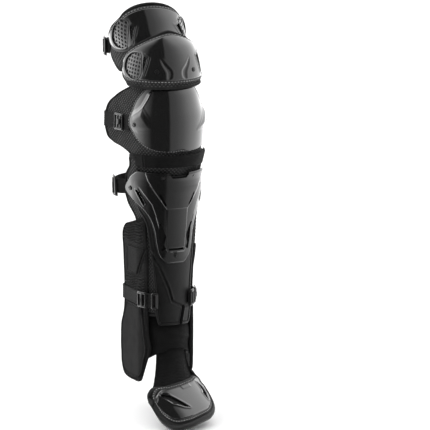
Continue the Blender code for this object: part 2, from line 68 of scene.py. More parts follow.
# Sections of the forms, foot to top: height share, half width, depth, back and side
thigh = Form(60, 124, 64, 65, 62, -4, -4.5, 130, 0, [
    (0.00, 0.955, 1.250, 0.620, 0.0), (0.24, 0.970, 1.560, 0.860, 0.1),
    (0.40, 0.970, 1.180, 0.920, 0.4), (0.58, 1.000, 1.000, 1.000, 1.0),
    (0.81, 0.985, 0.985, 1.210, 1.5), (1.00, 0.940, 0.940, 1.400, 2.0)])
upper = Form(52, 92, 64.5, 64, 6, -4, 0, 130, 0, [
    (-0.08, 0.970, 0.985, 0.2, 0.8), (0.00, 1.000, 1.010, 0.2, 0.8), (0.25, 1.010, 1.010, 0.4, 0.8),
    (0.46, 0.955, 0.985, 0.8, 0.8), (0.58, 0.905, 0.955, 1.1, 0.8),
    (0.71, 0.810, 0.890, 1.5, 0.8), (0.79, 0.700, 0.820, 1.8, 0.8),
    (0.88, 0.540, 0.720, 2.2, 0.8), (1.00, 0.360, 0.580, 2.6, 0.8)])
knee = Form(-65.4, 131.4, 65, 70.5, 0, 0, 0, 80, 0.24, [
    (-0.16, 0.955, 0.950, 0, 0), (0.00, 0.965, 0.960, 0, 0), (0.16, 0.985, 0.985, 0, 0),
    (0.37, 1.000, 1.000, 0, 0), (0.48, 0.985, 0.990, 0, 0), (0.60, 0.920, 0.930, 0, 0),
    (0.76, 0.840, 0.850, 0, 0), (0.88, 0.770, 0.750, 0, 0), (1.00, 0.780, 0.762, 0, 0)])
band = Form(-87, 22, 65.5, 68.5, 0, 0, 0, 130, 0, [(0.00, 0.992, 0.994, 0, 0), (1.00, 1.068, 1.086, 0, 0)])
shin = Form(-366, 300, 60, 58, 2, 0, 0, 80, 0.15, [
    (0.00, 0.765, 0.740, 1.0, 0), (0.12, 0.800, 0.740, 1.0, 0), (0.24, 0.835, 0.745, 1.3, 0),
    (0.42, 0.865, 0.765, 1.5, 0), (0.57, 0.880, 0.800, 1.5, 0), (0.68, 0.920, 0.860, 1.2, 0),
    (0.79, 0.955, 0.930, 1.0, 0), (0.86, 0.990, 0.990, 1.0, 0), (0.93, 1.033, 1.105, 0.5, 0),
    (1.00, 1.113, 1.205, 0.0, 0)])
calf = Form(-465, 290, 58.5, 58.5, 0, -2.5, 0, 84, 0.04, [
    (-0.04, 0.825, 0.850, 0, 1.0), (0.25, 0.830, 0.870, 0, 1.0), (0.50, 0.840, 0.860, 0, 0.8),
    (0.75, 0.890, 0.880, 0, 0.4), (1.00, 0.955, 0.905, 0, 0)])
ankle = Form(-432, 100, 45, 43, 0, 0, 0, 130, 0, [
    (0.00, 0.965, 0.985, 0, 0), (0.30, 0.965, 0.985, 0, 0), (0.58, 0.955, 0.950, 0, 0),
    (0.70, 0.885, 0.830, 0, 0), (0.80, 0.878, 0.795, 0, 0), (1.00, 0.878, 0.795, 0, 0)])


# Curves and forms

def smooth(places, values, at):
    """Smooth curve through values at places: cubic pieces that meet with averaged slopes."""
    places, values = np.asarray(places, float), np.asarray(values, float)
    slopes = np.gradient(values, places)
    at = np.clip(at, places[0], places[-1])
    left = np.clip(np.searchsorted(places, at, side="right") - 1, 0, len(places) - 2)
    span = places[left + 1] - places[left]
    t = (at - places[left]) / span
    return ((2 * t**3 - 3 * t**2 + 1) * values[left] + (t**3 - 2 * t**2 + t) * span * slopes[left]
            + (3 * t**2 - 2 * t**3) * values[left + 1] + (t**3 - t**2) * span * slopes[left + 1])


def spread(count, gather=0.8):
    """Even shares from 0 to 1 less part of one sine wave, so that they gather near both ends."""
    t = np.linspace(0.0, 1.0, count)
    return t - gather * np.sin(2 * pi * t) / (2 * pi)


def lengths_along(path):
    """Length from the start of a path to each of its points: the running sum of its steps."""
    return np.concatenate([[0.0], np.cumsum(np.linalg.norm(np.diff(path, axis=0), axis=1))])


def on_path(along, path, at):
    """Points of a path at lengths from its start, straight between its own points."""
    return np.stack([np.interp(at, along, column) for column in path.T], -1)


def unit(vectors):
    """Vectors divided by their lengths."""
    return vectors / (np.linalg.norm(vectors, axis=-1, keepdims=True) + 1e-12)


def middles(*grids):
    """Middle of each cell of a grid, for each of its coordinates: the average of the four corners."""
    return [(w[:-1, :-1] + w[1:, 1:] + w[:-1, 1:] + w[1:, :-1]) / 4 for w in grids]


def ruled(first, last, shares):
    """Grid of straight lines between two curves, with a row for each share of the way."""
    t = shares[:, None, None]
    return (1 - t) * first + t * last


def curve_through(points, shares, scale=(1.0, 1.0)):
    """Points at shares of the length of a smooth curve through a short list of points."""
    points = np.asarray(points, float)
    along = lengths_along(points * np.asarray(scale))
    return np.stack([smooth(along, points[:, k], shares * along[-1]) for k in range(points.shape[1])], -1)


def plain_point(form, angle, height):
    """Point on a form: an ellipse at each height that runs on straight behind its wing start."""
    share = (height - form.foot) / form.height
    columns = np.asarray(form.table, float)
    wide, deep, back, side = (smooth(columns[:, 0], columns[:, k], share) for k in range(1, 5))
    wide, deep = wide * form.half_width, deep * form.depth
    held = np.clip(angle, -form.wing_start, form.wing_start)
    beyond = np.radians(np.abs(angle) - np.abs(held)) * form.half_width
    turned = np.radians(held + form.turn)
    x = wide * np.sin(turned) + side * form.side + np.sign(angle) * beyond * form.flare
    y = back * form.back - deep * np.cos(turned) + beyond * (1.0 - form.flare**2) ** 0.5
    return np.stack([x, y, height + 0.0 * angle], axis=-1)


def facing(form, angle, height):
    """Outward direction of a form: the unit cross product of its short steps round and up."""
    lowest, highest = (form.foot + form.table[k][0] * form.height for k in (0, -1))
    low = np.maximum(height - 0.01 * form.height, lowest)
    high = np.minimum(height + 0.01 * form.height, highest)
    round_step = plain_point(form, angle + 0.5, height) - plain_point(form, angle - 0.5, height)
    up_step = plain_point(form, angle, high) - plain_point(form, angle, low)
    return unit(np.cross(round_step, up_step))


def on_form(form, angle, height, out=0.0):
    """Point on a form moved out along its facing by a distance."""
    angle, height = np.asarray(angle, float), np.asarray(height, float)
    return plain_point(form, angle, height) + facing(form, angle, height) * out


def heights(form, edge):
    """Edge given as angle and height share, as angle and height."""
    return [(angle, form.foot + share * form.height) for angle, share in edge]


def mirrored(half):
    """Whole edge from its left half, which runs from the left end to the middle."""
    right = [(-angle, share) for angle, share in reversed(half)]
    return list(half) + (right[1:] if half[-1][0] == 0 else right)


def flat(form, ring):
    """Angle and height points as x and z: x is the arc of the half width through the angle."""
    return np.array([(angle * form.half_width * pi / 180, z) for angle, z in ring])


# Distances for reliefs and openings

def line_distance(x, z, line):
    """Distance from each place to the nearest of the straight pieces between points."""
    best = np.full(np.shape(x), 1e9)
    for (ax, az), (bx, bz) in zip(line[:-1], line[1:]):
        rx, rz = bx - ax, bz - az
        t = np.clip(((x - ax) * rx + (z - az) * rz) / (rx * rx + rz * rz), 0, 1)
        best = np.minimum(best, np.hypot(x - ax - t * rx, z - az - t * rz))
    return best


def ring_distance(x, z, ring):
    """Distance to a ring, below zero inside it by the even-odd rule."""
    ring = np.asarray(ring)
    inside = np.zeros(np.shape(x), bool)
    for (ax, az), (bx, bz) in zip(ring, np.roll(ring, -1, axis=0)):
        crosses = (az > z) != (bz > z)
        inside ^= crosses & (x < (bx - ax) * (z - az) / (bz - az + 1e-12) + ax)
    distance = line_distance(x, z, np.vstack([ring, ring[:1]]))
    return np.where(inside, -distance, distance)


def rise(value, start, end):
    """Smooth step from 0 at start to 1 at end: 3 t squared less 2 t cubed of the share t of the way."""
    t = np.clip((value - start) / (end - start), 0, 1)
    return t * t * (3 - 2 * t)


def ridge(distance, width):
    """Bell curve: e to minus the square of distance over width."""
    return np.exp(-(distance / width) ** 2)


def rounded_ring(points, count=48):
    """Closed ring through a few points: the smooth curve of each coordinate, joined to itself."""
    points = np.vstack([points, points[:1]])
    turn = np.linspace(0, 1, len(points))
    ext = np.concatenate([turn[-3:-1] - 1, turn, turn[1:3] + 1])
    wrapped = np.vstack([points[-3:-1], points, points[1:3]])
    at = np.linspace(0, 1, count, endpoint=False)
    return np.stack([smooth(ext, wrapped[:, k], at) for k in range(2)], -1)


# Meshes

def placed(name, data):
    """Object at the origin that holds a mesh, lamp or camera."""
    thing = bpy.data.objects.new(name, data)
    bpy.context.scene.collection.objects.link(thing)
    return thing


def round_faces(rows, around, closed=False):
    """Faces round rows of points, and fans over both end rows unless the rows close on themselves."""
    index = np.arange(rows * around).reshape(rows, around)
    if closed:
        index = np.vstack([index, index[:1]])
    after = np.roll(index, -1, axis=1)
    faces = [np.stack([index[:-1], after[:-1], after[1:], index[1:]], -1).reshape(-1, 4)]
    if not closed:
        fan = np.array([(0, k + 2, k + 1, k) for k in range(1, around - 2, 2)])
        faces += [index[0, fan], index[-1, fan[:, [0, 3, 2, 1]]]]
    return np.concatenate(faces)


def round_points(centre, side, up, radius, around):
    """Circles about the points of a path: radius times the cosine along side and the sine along up."""
    turn = np.linspace(0, 2 * pi, around, endpoint=False)[None, :, None]
    return centre[:, None] + radius * (np.cos(turn) * side[:, None] + np.sin(turn) * up[:, None])


def put_mesh(name, points, quads, material, uv=None, near=None):
    """Mesh from arrays of points in millimetres and of four-cornered faces."""
    used, quads = np.unique(quads, return_inverse=True)
    quads = quads.reshape(-1, 4)
    points = points[used] * MM
    mesh = bpy.data.meshes.new(name)
    mesh.vertices.add(len(points))
    mesh.vertices.foreach_set("co", points.astype(np.float32).ravel())
    mesh.loops.add(quads.size)
    mesh.loops.foreach_set("vertex_index", quads.astype(np.int32).ravel())
    mesh.polygons.add(len(quads))
    mesh.polygons.foreach_set("loop_start", np.arange(0, quads.size, 4, dtype=np.int32))
    mesh.update(calc_edges=True)
    if uv is not None:
        layer = mesh.uv_layers.new(name="length")
        layer.data.foreach_set("uv", uv[used][quads.ravel()].astype(np.float32).ravel())
    if near is not None:
        border = mesh.attributes.new("border", "FLOAT", "POINT")
        border.data.foreach_set("value", near[used].astype(np.float32))
    mesh.materials.append(material)
    mesh.shade_smooth()
    mesh.set_sharp_from_angle(angle=radians(42))
    thing = placed(name, mesh)
    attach(thing, "root")
    return thing


def runs(points):
    """Running sums of the steps down and over a grid, from its first row and its first column."""
    made = []
    for axis in (0, 1):
        steps = np.linalg.norm(np.diff(points, axis=axis), axis=-1)
        first = np.zeros_like(steps.take([0], axis))
        made.append(np.concatenate([first, np.cumsum(steps, axis=axis)], axis=axis))
    return made


def border_distance(points, corner=6.0):
    """Length along the grid to the nearest border, rounded within the corner length."""
    down, over = (np.minimum(run, run.take([-1], axis) - run) for axis, run in enumerate(runs(points)))
    near = np.minimum(down, over)
    both = (down < corner) & (over < corner)
    bow = corner - np.hypot(corner - down, corner - over)
    return np.maximum(np.where(both, bow, near), 0.0)


def skin(name, places, normals, base, wall, edge, material, replaces=(), relief=None, open_at=None,
         corner=6.0, lengths=None):
    """Closed sheet of two grids, whose wall thins to a lip as a quarter ellipse over the edge length.

    The outer grid lies base and wall above the places along the normals, with the relief added."""
    rows, columns = places.shape[:2]
    near = border_distance(places, corner)
    swell = np.sqrt(1 - 0.88 * (1 - np.clip(near / edge, 0, 1)) ** 2)
    lift = base + wall * (0.5 + 0.5 * swell)
    if relief is not None:
        lift = lift + relief(near)
    outer = places + normals * lift[..., None]
    inner = places + normals * (base + wall * (0.5 - 0.5 * swell))[..., None]
    keep = np.ones((rows - 1, columns - 1), bool) if open_at is None else ~open_at
    index = np.arange(rows * columns).reshape(rows, columns)
    a, b, c, d = index[:-1, :-1], index[:-1, 1:], index[1:, 1:], index[1:, :-1]
    under = rows * columns
    quads = [np.stack([a, b, c, d], -1)[keep], np.stack([d, c, b, a], -1)[keep] + under]
    padded = np.pad(keep, 1)
    above, below = padded[:-1, 1:-1], padded[1:, 1:-1]
    left, right = padded[1:-1, :-1], padded[1:-1, 1:]
    cell_sides = ((below & ~above, index[:, 1:], index[:, :-1]),
                  (above & ~below, index[:, :-1], index[:, 1:]),
                  (right & ~left, index[:-1], index[1:]),
                  (left & ~right, index[1:], index[:-1]))
    for chosen, p, q in cell_sides:
        quads.append(np.stack([p, q, q + under, p + under], -1)[chosen])
    quads = np.concatenate(quads)
    j, i = rows // 2, columns // 2
    turn = np.cross(places[j + 1, i] - places[j, i], places[j, i + 1] - places[j, i])
    if turn @ normals[j, i] > 0:
        quads = quads[:, ::-1]
    down, over = runs(places)
    uv = np.stack((over, down) if lengths is None else lengths, -1).reshape(-1, 2) * MM
    points = np.concatenate([outer.reshape(-1, 3), inner.reshape(-1, 3)])
    uv, near = np.concatenate([uv, uv]), np.tile(near.ravel(), 2)
    thing = put_mesh(name, points, quads, material, uv, near)
    if replaces:
        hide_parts(*replaces)
    return outer


def snapped(x, z, inside, ring):
    """Grid whose points between open and closed cells are moved to the nearest place on a ring."""
    held = np.pad(inside, 1)
    touched = np.stack([held[:-1, :-1], held[1:, :-1], held[:-1, 1:], held[1:, 1:]])
    rim = np.nonzero(touched.any(axis=0) & ~touched.all(axis=0))
    start, end = np.asarray(ring), np.roll(ring, -1, axis=0)
    run = end - start
    spot = np.stack([x[rim], z[rim]], -1)[:, None]
    t = np.clip(((spot - start) * run).sum(-1) / (run * run).sum(-1), 0, 1)
    near = start + t[..., None] * run
    best = np.linalg.norm(near - spot, axis=-1).argmin(axis=1)
    near = near[np.arange(len(best)), best]
    x, z = x.copy(), z.copy()
    x[rim], z[rim] = near[:, 0], near[:, 1]
    return x, z


def over_form(name, form, first, last, size, base, wall, edge, material, slot, replaces=(), relief=None,
              rings=(), corner=6.0, gather=0.8, soft=None):
    """Sheet over a form, ruled between two edges, cut through along rings of x and z."""
    along, across = size
    around = form.half_width * pi / 180
    shares = spread(along, gather)
    ends = (curve_through(heights(form, end), shares, (around, 1.0)) for end in (first, last))
    field = ruled(*ends, spread(across, gather))
    x, z = field[..., 0] * around, field[..., 1]
    opened = np.zeros((across - 1, along - 1), bool)
    for ring in rings:
        inside = ring_distance(*middles(x, z), ring) < 0
        x, z = snapped(x, z, inside, ring)
        opened |= inside
    places, normals = plain_point(form, x / around, z), facing(form, x / around, z)
    shaped = None if relief is None else (lambda near: relief(x, z, near))
    return skin(name, places, normals, base, wall, edge, material, replaces, shaped,
                opened if rings else None, corner, (x, z))


def rims(name, form, rings, out, radius):
    """Rounded lips of cut openings: a small circle of points carried along each closed ring."""
    around, points, faces, start = 8, [], [], 0
    for ring in rings:
        closed = np.vstack([ring, ring[:1]])
        along = lengths_along(closed)
        at = np.linspace(0, along[-1], int(along[-1] / 0.9), endpoint=False)
        x, height = on_path(along, closed, at).T
        angle = x / (form.half_width * pi / 180)
        centre, up = on_form(form, angle, height, out), facing(form, angle, height)
        side = unit(np.cross(np.roll(centre, -2, axis=0) - np.roll(centre, 2, axis=0), up))
        points.append(round_points(centre, side, up, radius, around).reshape(-1, 3))
        faces.append(round_faces(len(at), around, closed=True) + start)
        start += len(points[-1])
    put_mesh(name, np.concatenate(points), np.concatenate(faces), gloss_lip)


def inset(grid, distance, side):
    """Path on a grid at a distance from one border: 0 first row, 1 last row, 2 first column, 3 last."""
    if side in (2, 3):
        grid = np.swapaxes(grid, 0, 1)
    if side in (1, 3):
        grid = grid[::-1]
    run = runs(grid)[0]
    row = np.clip((run < distance).sum(axis=0) - 1, 0, grid.shape[0] - 2)
    column = np.arange(grid.shape[1])
    part = (distance - run[row, column]) / (run[row + 1, column] - run[row, column])
    path = grid[row, column] * (1 - part[:, None]) + grid[row + 1, column] * part[:, None]
    across = lengths_along(path)
    chosen = (across > distance) & (across < across[-1] - distance)
    return path[chosen]


def stitches(name, paths, pitch=5.6, length=3.8, radius=0.8, out=(0.0, 0.0)):
    """Row of small threads along each path: rings round a line, drawn in as an ellipse at both ends."""
    turn, rows = 6, 5
    u, v = np.linspace(0, 2 * pi, turn, endpoint=False), np.linspace(-1, 1, rows)
    girth = np.sqrt(np.maximum(1 - v**2, 0.02))
    shape = np.stack([np.repeat(v, turn), np.tile(np.cos(u), rows) * np.repeat(girth, turn),
                      np.tile(np.sin(u), rows) * np.repeat(girth, turn)], -1)
    cells = round_faces(rows, turn)
    spots, points = 0, []
    for path in paths:
        along = lengths_along(path)
        at = np.arange(pitch / 2, along[-1] - pitch / 2, pitch)
        centre = on_path(along, path, at)
        run = unit(on_path(along, path, at + 1) - centre)
        outward = centre - np.array([0.0, out[0], 0.0])
        outward[:, 2] = out[1]
        side = unit(np.cross(run, outward))
        up = np.cross(side, run)
        local = sum(shape[None, :, k:k + 1] * reach * way[:, None] for k, (reach, way) in
                    enumerate(((length / 2, run), (radius, side), (radius, up))))
        points.append((centre[:, None] + local).reshape(-1, 3))
        spots += len(at)
    points = np.concatenate(points)
    quads = (cells[None] + (np.arange(spots) * turn * rows)[:, None, None]).reshape(-1, 4)
    put_mesh(name, points, quads, thread)


# Materials

class Nodes:
    """Nodes of a material or world, with short ways to add and join them."""

    def __init__(self, made):
        """Keeps the node tree of what is made."""
        self.made = made
        made.use_nodes = True
        self.nodes, self.links = made.node_tree.nodes, made.node_tree.links

    def add(self, kind, joined=(), **values):
        """Node with its settings or input values, and with the sockets that feed it."""
        node = self.nodes.new(kind)
        for key, value in values.items():
            if key in node.inputs:
                node.inputs[key].default_value = value
            else:
                setattr(node, key, value)
        for name, source in dict(joined).items():
            self.links.new(source, node.inputs[name])
        return node

    def place(self, kind="Object"):
        """Coordinates of each place, the object's own unless another kind is named."""
        return self.add("ShaderNodeTexCoord").outputs[kind]

    def maths(self, operation, first, second):
        """Result of one operation on two numbers or sockets."""
        node = self.add("ShaderNodeMath", operation=operation)
        for k, value in enumerate((first, second)):
            if isinstance(value, (int, float)):
                node.inputs[k].default_value = value
            else:
                self.links.new(value, node.inputs[k])
        return node.outputs[0]

    def between(self, value, low, high, start=0.0, end=1.0):
        """Number from low to high in step with a value from start to end."""
        settings = {"From Min": start, "From Max": end, "To Min": low, "To Max": high}
        return self.add("ShaderNodeMapRange", {"Value": value}, **settings).outputs[0]


class Finish(Nodes):
    """Material under way."""

    def __init__(self, name, shade, roughness, shine=0.5):
        """Starts a material with an even grey, a roughness and a strength of shine."""
        super().__init__(bpy.data.materials.new(name))
        self.shader = self.nodes["Principled BSDF"]
        self.shader.inputs["Base Color"].default_value = grey(shade)
        self.shader.inputs["Roughness"].default_value = roughness
        self.shader.inputs["Specular IOR Level"].default_value = shine

    def border(self):
        """Length to the piece's border in millimetres."""
        return self.add("ShaderNodeAttribute", attribute_name="border").outputs["Fac"]

    def noise(self, place, scale, detail=3.0):
        """Cloudy pattern with a number of clouds to the metre."""
        return self.add("ShaderNodeTexNoise", {"Vector": place}, Scale=scale, Detail=detail).outputs["Fac"]

    def bands(self, place, pitch, direction):
        """Sine waves of a pitch in metres across a place."""
        settings = {"Scale": pi / 10 / pitch, "bands_direction": direction}
        return self.add("ShaderNodeTexWave", {"Vector": place}, **settings).outputs["Fac"]

    def turned(self, place, angle):
        """Coordinates turned in their plane by an angle in degrees."""
        node = self.add("ShaderNodeMapping", {"Vector": place})
        node.inputs["Rotation"].default_value = (0, 0, radians(angle))
        return node.outputs[0]

    def colour(self, factor, dark, light):
        """Grey mixed between a dark and a light one by a factor."""
        node = self.add("ShaderNodeMix", data_type="RGBA")
        self.links.new(factor, node.inputs["Factor"])
        node.inputs["A"].default_value, node.inputs["B"].default_value = grey(dark), grey(light)
        self.links.new(node.outputs[2], self.shader.inputs["Base Color"])

    def bump(self, height, depth):
        """Relief in the shading from a height pattern and a depth in metres; ends the material."""
        node = self.add("ShaderNodeBump", {"Height": height}, Distance=depth, Strength=1.0)
        self.links.new(node.outputs["Normal"], self.shader.inputs["Normal"])
        return self.made


def grey(value):
    """Colour with three equal parts."""
    return (value, value, value, 1)


def shell_finish(name, shade, low, high, grain, bound=0.0, shine=0.5):
    """Moulded plastic: even black, faint flow marks in its gloss, a fine grain, and a dull bound border."""
    made = Finish(name, shade, low, shine)
    place = made.place()
    gloss_marks = made.between(made.noise(place, 26), low, high)
    if bound:
        dull = made.between(made.border(), 0.7, 0.0, bound, bound + 0.6)
        gloss_marks = made.maths("ADD", gloss_marks, dull)
    made.links.new(gloss_marks, made.shader.inputs["Roughness"])
    made.colour(made.noise(place, 60), shade * 0.8, shade * 1.25)
    return made.bump(made.noise(place, 900, 2), grain)


def cloth_finish(name, shade, pitch, depth, angle=0.0, rough=0.8, mesh=True, shine=0.2, bound=0.0):
    """Woven cloth: two sets of threads along the piece, paler on their crowns, and a plain border."""
    made = Finish(name, shade, rough, shine)
    place = made.turned(made.place("UV"), angle)
    threads = (made.bands(place, pitch, direction) for direction in "XY")
    weave = made.maths("MULTIPLY" if mesh else "MAXIMUM", *threads)
    if bound:
        weave = made.maths("MULTIPLY", weave, made.maths("GREATER_THAN", made.border(), bound))
    uneven = made.maths("ADD", weave, made.maths("MULTIPLY", made.noise(made.place(), 70), 0.5))
    made.colour(uneven, shade * 0.1, shade * 2.2)
    made.links.new(made.between(weave, rough + 0.12, rough - 0.1), made.shader.inputs["Roughness"])
    return made.bump(weave, depth)


gloss = shell_finish("gloss_black_shell", 0.006, 0.05, 0.09, 0.00001, 5.0)
gloss_lip = shell_finish("gloss_black_lip", 0.006, 0.10, 0.16, 0.00001)
satin = shell_finish("satin_black_shell", 0.0055, 0.10, 0.15, 0.00003, shine=0.28)
moulded = shell_finish("moulded_black_trim", 0.007, 0.26, 0.36, 0.00004, shine=0.2)
net_plastic = shell_finish("net_black_plastic", 0.034, 0.3, 0.4, 0.00004)
mesh_cloth = cloth_finish("padding_mesh", 0.030, 0.0046, 0.0008, 45, shine=0.06, bound=6.6)
binding = cloth_finish("border_binding", 0.010, 0.0013, 0.0002, 0, 0.62)
knit = cloth_finish("ribbed_knit", 0.017, 0.0026, 0.0004, 0, shine=0.03, bound=5.0)
stretch = cloth_finish("stretch_cloth", 0.005, 0.0016, 0.0002, 30, shine=0.1)
smooth_cloth = cloth_finish("smooth_coated_cloth", 0.013, 0.0011, 0.00006, 20, 0.55, shine=0.01)
panel_cloth = cloth_finish("coated_panel_cloth", 0.0045, 0.0016, 0.00008, 30, 0.5, shine=0.16)
webbing = cloth_finish("strap_webbing", 0.0090, 0.0022, 0.0003, 0, 0.7, mesh=False, shine=0.02)
thread = cloth_finish("thread", 0.34, 0.0006, 0.0001, 30, 0.6)

# Thigh and upper knee

thigh_pad_top = mirrored([(-116, 0.44), (-112, 0.52), (-100, 0.58), (-80, 0.68), (-59, 0.79),
                          (-48, 0.87), (-35, 0.935), (0, 1.0)])
thigh_pad_foot = mirrored([(-116, 0.40), (-108, 0.25), (-98, 0.10), (-88, 0.04), (-78, 0.10),
                           (-66, 0.26), (-50, 0.31), (0, 0.25)])
thigh_plate_top = mirrored([(-104, 0.51), (-98, 0.55), (-80, 0.64), (-59, 0.745), (-48, 0.82),
                            (-35, 0.88), (0, 0.94)])
thigh_plate_foot = mirrored([(-104, 0.45), (-98, 0.38), (-85, 0.33), (-66, 0.33), (-50, 0.38),
                             (-35, 0.42), (0, 0.42)])
upper_pad_top = mirrored([(-106, 0.34), (-103, 0.45), (-94, 0.57), (-78, 0.69), (-54, 0.84), (-28, 0.935),
                          (0, 0.975)])
upper_pad_foot = mirrored([(-106, 0.26), (-105, 0.12), (-97, 0.02), (-84, -0.04), (-60, -0.065),
                           (0, -0.07)])
upper_plate_top = mirrored([(-97, 0.36), (-94, 0.46), (-86, 0.56), (-72, 0.66), (-51, 0.77), (-27, 0.86),
                            (0, 0.90)])
upper_plate_foot = mirrored([(-97, 0.28), (-96, 0.18), (-88, 0.10), (-72, 0.07), (-50, 0.06), (0, 0.05)])

thigh_window = rounded_ring(flat(thigh, [
    (-53, 155), (-42, 152), (-44, 140), (-49, 126), (-56, 110), (-66, 106), (-80, 109), (-85, 120),
    (-78, 133), (-66, 147)]))
thigh_slit = flat(thigh, [(-40.5, 146.5), (-33, 143), (-38, 131), (-48, 113), (-45, 122), (-43, 132)])
thigh_chevron = flat(thigh, [(-38, 149.5), (-30, 145), (-36, 131), (-46, 114)])
thigh_crease = flat(thigh, [(-27, 146), (-33, 134), (-39, 121)])
upper_window = rounded_ring(flat(upper, [
    (-72, 105), (-58, 105), (-53.5, 95), (-53.5, 72), (-62, 62), (-76, 65), (-87, 77), (-87, 90),
    (-81, 99)]))
upper_slit = flat(upper, [(-50, 101), (-43.5, 98), (-45, 88), (-50, 71), (-50.5, 86)])
upper_chevron = flat(upper, [(-49, 104.5), (-41, 99.5), (-43, 88), (-48.5, 70)])
thigh_bar, upper_bar = (np.vstack([line, line[::-1] + np.array([3.0, -1.2])]) for line in
                        (thigh_chevron, upper_chevron))
teardrop = rounded_ring(flat(upper, [
    (-25, 99), (-15, 88), (-7, 77), (-8, 65), (-15, 63), (-16, 75), (-22, 87)]))


def both_sides(rings):
    """Rings and their mirrored copies, with x made minus x and the order turned round."""
    return rings + [ring[::-1] * np.array([-1.0, 1.0]) for ring in rings]


def padded_border(near, width=6.0, height=1.2):
    """Rolled binding along the border, a half ellipse, with a bell-curve seam behind it."""
    roll = height * np.sqrt(np.clip(1 - ((near - width / 2) / (width / 2)) ** 2, 0, 1))
    return roll - 0.9 * ridge(near - width - 0.6, 0.8)


def framed(x, z, near, window):
    """Step down at a shell's border, and a sunk seat round its window."""
    return -1.0 * (1 - rise(near, 4.6, 6.0)) - 0.9 * rise(-ring_distance(x, z, window), -4.5, -0.5)


def thigh_relief(x, z, near):
    """Framed shell, plus a bell-curve crease beside each slit."""
    x = -np.abs(x)
    return framed(x, z, near, thigh_window) + 0.7 * ridge(line_distance(x, z, thigh_crease), 0.9)


def upper_relief(x, z, near):
    """Framed shell, less a smooth step down inside each teardrop, with a low lip round it."""
    x = -np.abs(x)
    drop = ring_distance(x, z, teardrop)
    return framed(x, z, near, upper_window) - 1.5 * rise(-drop, 0.0, 3.2) + 0.25 * ridge(drop - 0.8, 0.8)


def net(name, form, ring, centre, tilt, pitch, base):
    """Lattice of flat strands behind a window: a grid of holes, kept inside the window's ring."""
    cells, reach = 5, 34.0
    count = int(2 * reach / pitch) * cells + 1
    line = np.linspace(-reach, reach, count)
    u, v = np.meshgrid(line, line)
    c, s = cos(radians(tilt)), sin(radians(tilt))
    around = form.half_width * pi / 180
    x, z = centre[0] * around + u * c + v * s, centre[1] - u * s + v * c
    j = np.arange(count - 1) % cells
    hole = (j[:, None] >= 2) & (j[None, :] >= 2)
    outside = ring_distance(*middles(x, z), ring) > 1.6
    places, normals = plain_point(form, x / around, z), facing(form, x / around, z)
    skin(name, places, normals, base, 1.0, 0.3, net_plastic, (), None, hole | outside)


def thigh_and_upper_knee():
    """Pads, pierced shells, threads and nets of the thigh and the upper knee."""
    over_form("thigh_padding", thigh, thigh_pad_top, thigh_pad_foot, (200, 84), -PAD, PAD, 4.0, mesh_cloth,
              "padding", ("thigh_pad",), lambda x, z, near: padded_border(near), corner=10, soft=0.7)
    shell = over_form("thigh_shell", thigh, thigh_plate_top, thigh_plate_foot, (250, 104), 1.4, SHELL, 1.4,
                      gloss, "gloss_shell", ("thigh_plate",), thigh_relief,
                      both_sides([thigh_window, thigh_slit]), corner=8, gather=0.5)
    lips("thigh", thigh, thigh_window, [thigh_slit, thigh_bar], 3.2)
    stitches("thigh_stitches", [inset(shell, 2.9, side) for side in (0, 2, 3)], out=(66, -0.4))
    over_form("upper_knee_padding", upper, upper_pad_top, upper_pad_foot, (200, 90), -PAD, PAD, 4.0,
              mesh_cloth, "padding", ("upper_knee_pad",), upper_pad_relief, corner=8, soft=0.8)
    shell = over_form("upper_knee_shell", upper, upper_plate_top, upper_plate_foot, (230, 120), 1.0, SHELL,
                      1.4, gloss, "gloss_shell", ("upper_knee_plate",), upper_relief,
                      both_sides([upper_window, upper_slit]), corner=8, gather=0.5)
    lips("upper_knee", upper, upper_window, [upper_slit, upper_bar], 2.8)
    stitches("upper_knee_stitches", [inset(shell, 2.9, side) for side in (0, 1, 2, 3)], out=(10, 0.3))
    for side, sign in (("left", 1.0), ("right", -1.0)):
        turned = np.array([sign, 1.0])
        net("thigh_net_" + side, thigh, thigh_window * turned, (-64 * sign, 130), 19 * sign, 6.2, 0.1)
        net("upper_knee_net_" + side, upper, upper_window * turned, (-70 * sign, 84), 8 * sign, 6.0, -0.1)


def lips(title, form, window, slits, out):
    """Rounded lips of a window and its mirrored copy, and of the slits and bars beside them."""
    rims(title + "_window_lips", form, both_sides([window]), out, 1.0)
    rims(title + "_slit_lips", form, both_sides(slits), out + 0.6, 0.8)


def upper_pad_relief(x, z, near):
    """Border binding, and two thick rolls one over the other along the foot."""
    low = z - 46.0
    rolls = (2.8 * ridge(low - 4.4, 3.6) + 1.5 * ridge(low - 10.8, 2.4)) * (1 - rise(np.abs(x), 92, 104))
    return padded_border(near) * rise(low, 10, 16) + rolls - 0.8 * ridge(low - 8.2, 0.8)


# Knee

def sides(left):
    """Left edge and its copy on the right, with angle made minus angle."""
    return left, [(-angle, share) for angle, share in left]


knee_wing = sides([(-55, 1.0), (-84, 0.93), (-99, 0.85), (-130, 0.70), (-146, 0.57), (-148, 0.48),
                   (-148, 0.24), (-144, 0.155), (-130, 0.09), (-110, 0.05), (-94, 0.0), (-76, -0.10),
                   (-50, -0.14)])
knee_cap = sides([(-40, 0.862), (-64, 0.80), (-80, 0.63), (-82, 0.48), (-74, 0.27), (-61, 0.155),
                  (-45, 0.085), (-20, 0.055)])
knee_slope = flat(knee, [(-44, 44), (-52, 26), (-58, 13.6), (-65, 5.7), (-74, -0.6), (-90, -4), (-92, 44)])
knee_wedge = flat(knee, [(-58, 13.6), (-40, -10.4), (-28, -24.1), (-40, -23.6), (-64, -26.8), (-84, -28),
                         (-88, 0), (-74, -0.6), (-65, 5.7)])


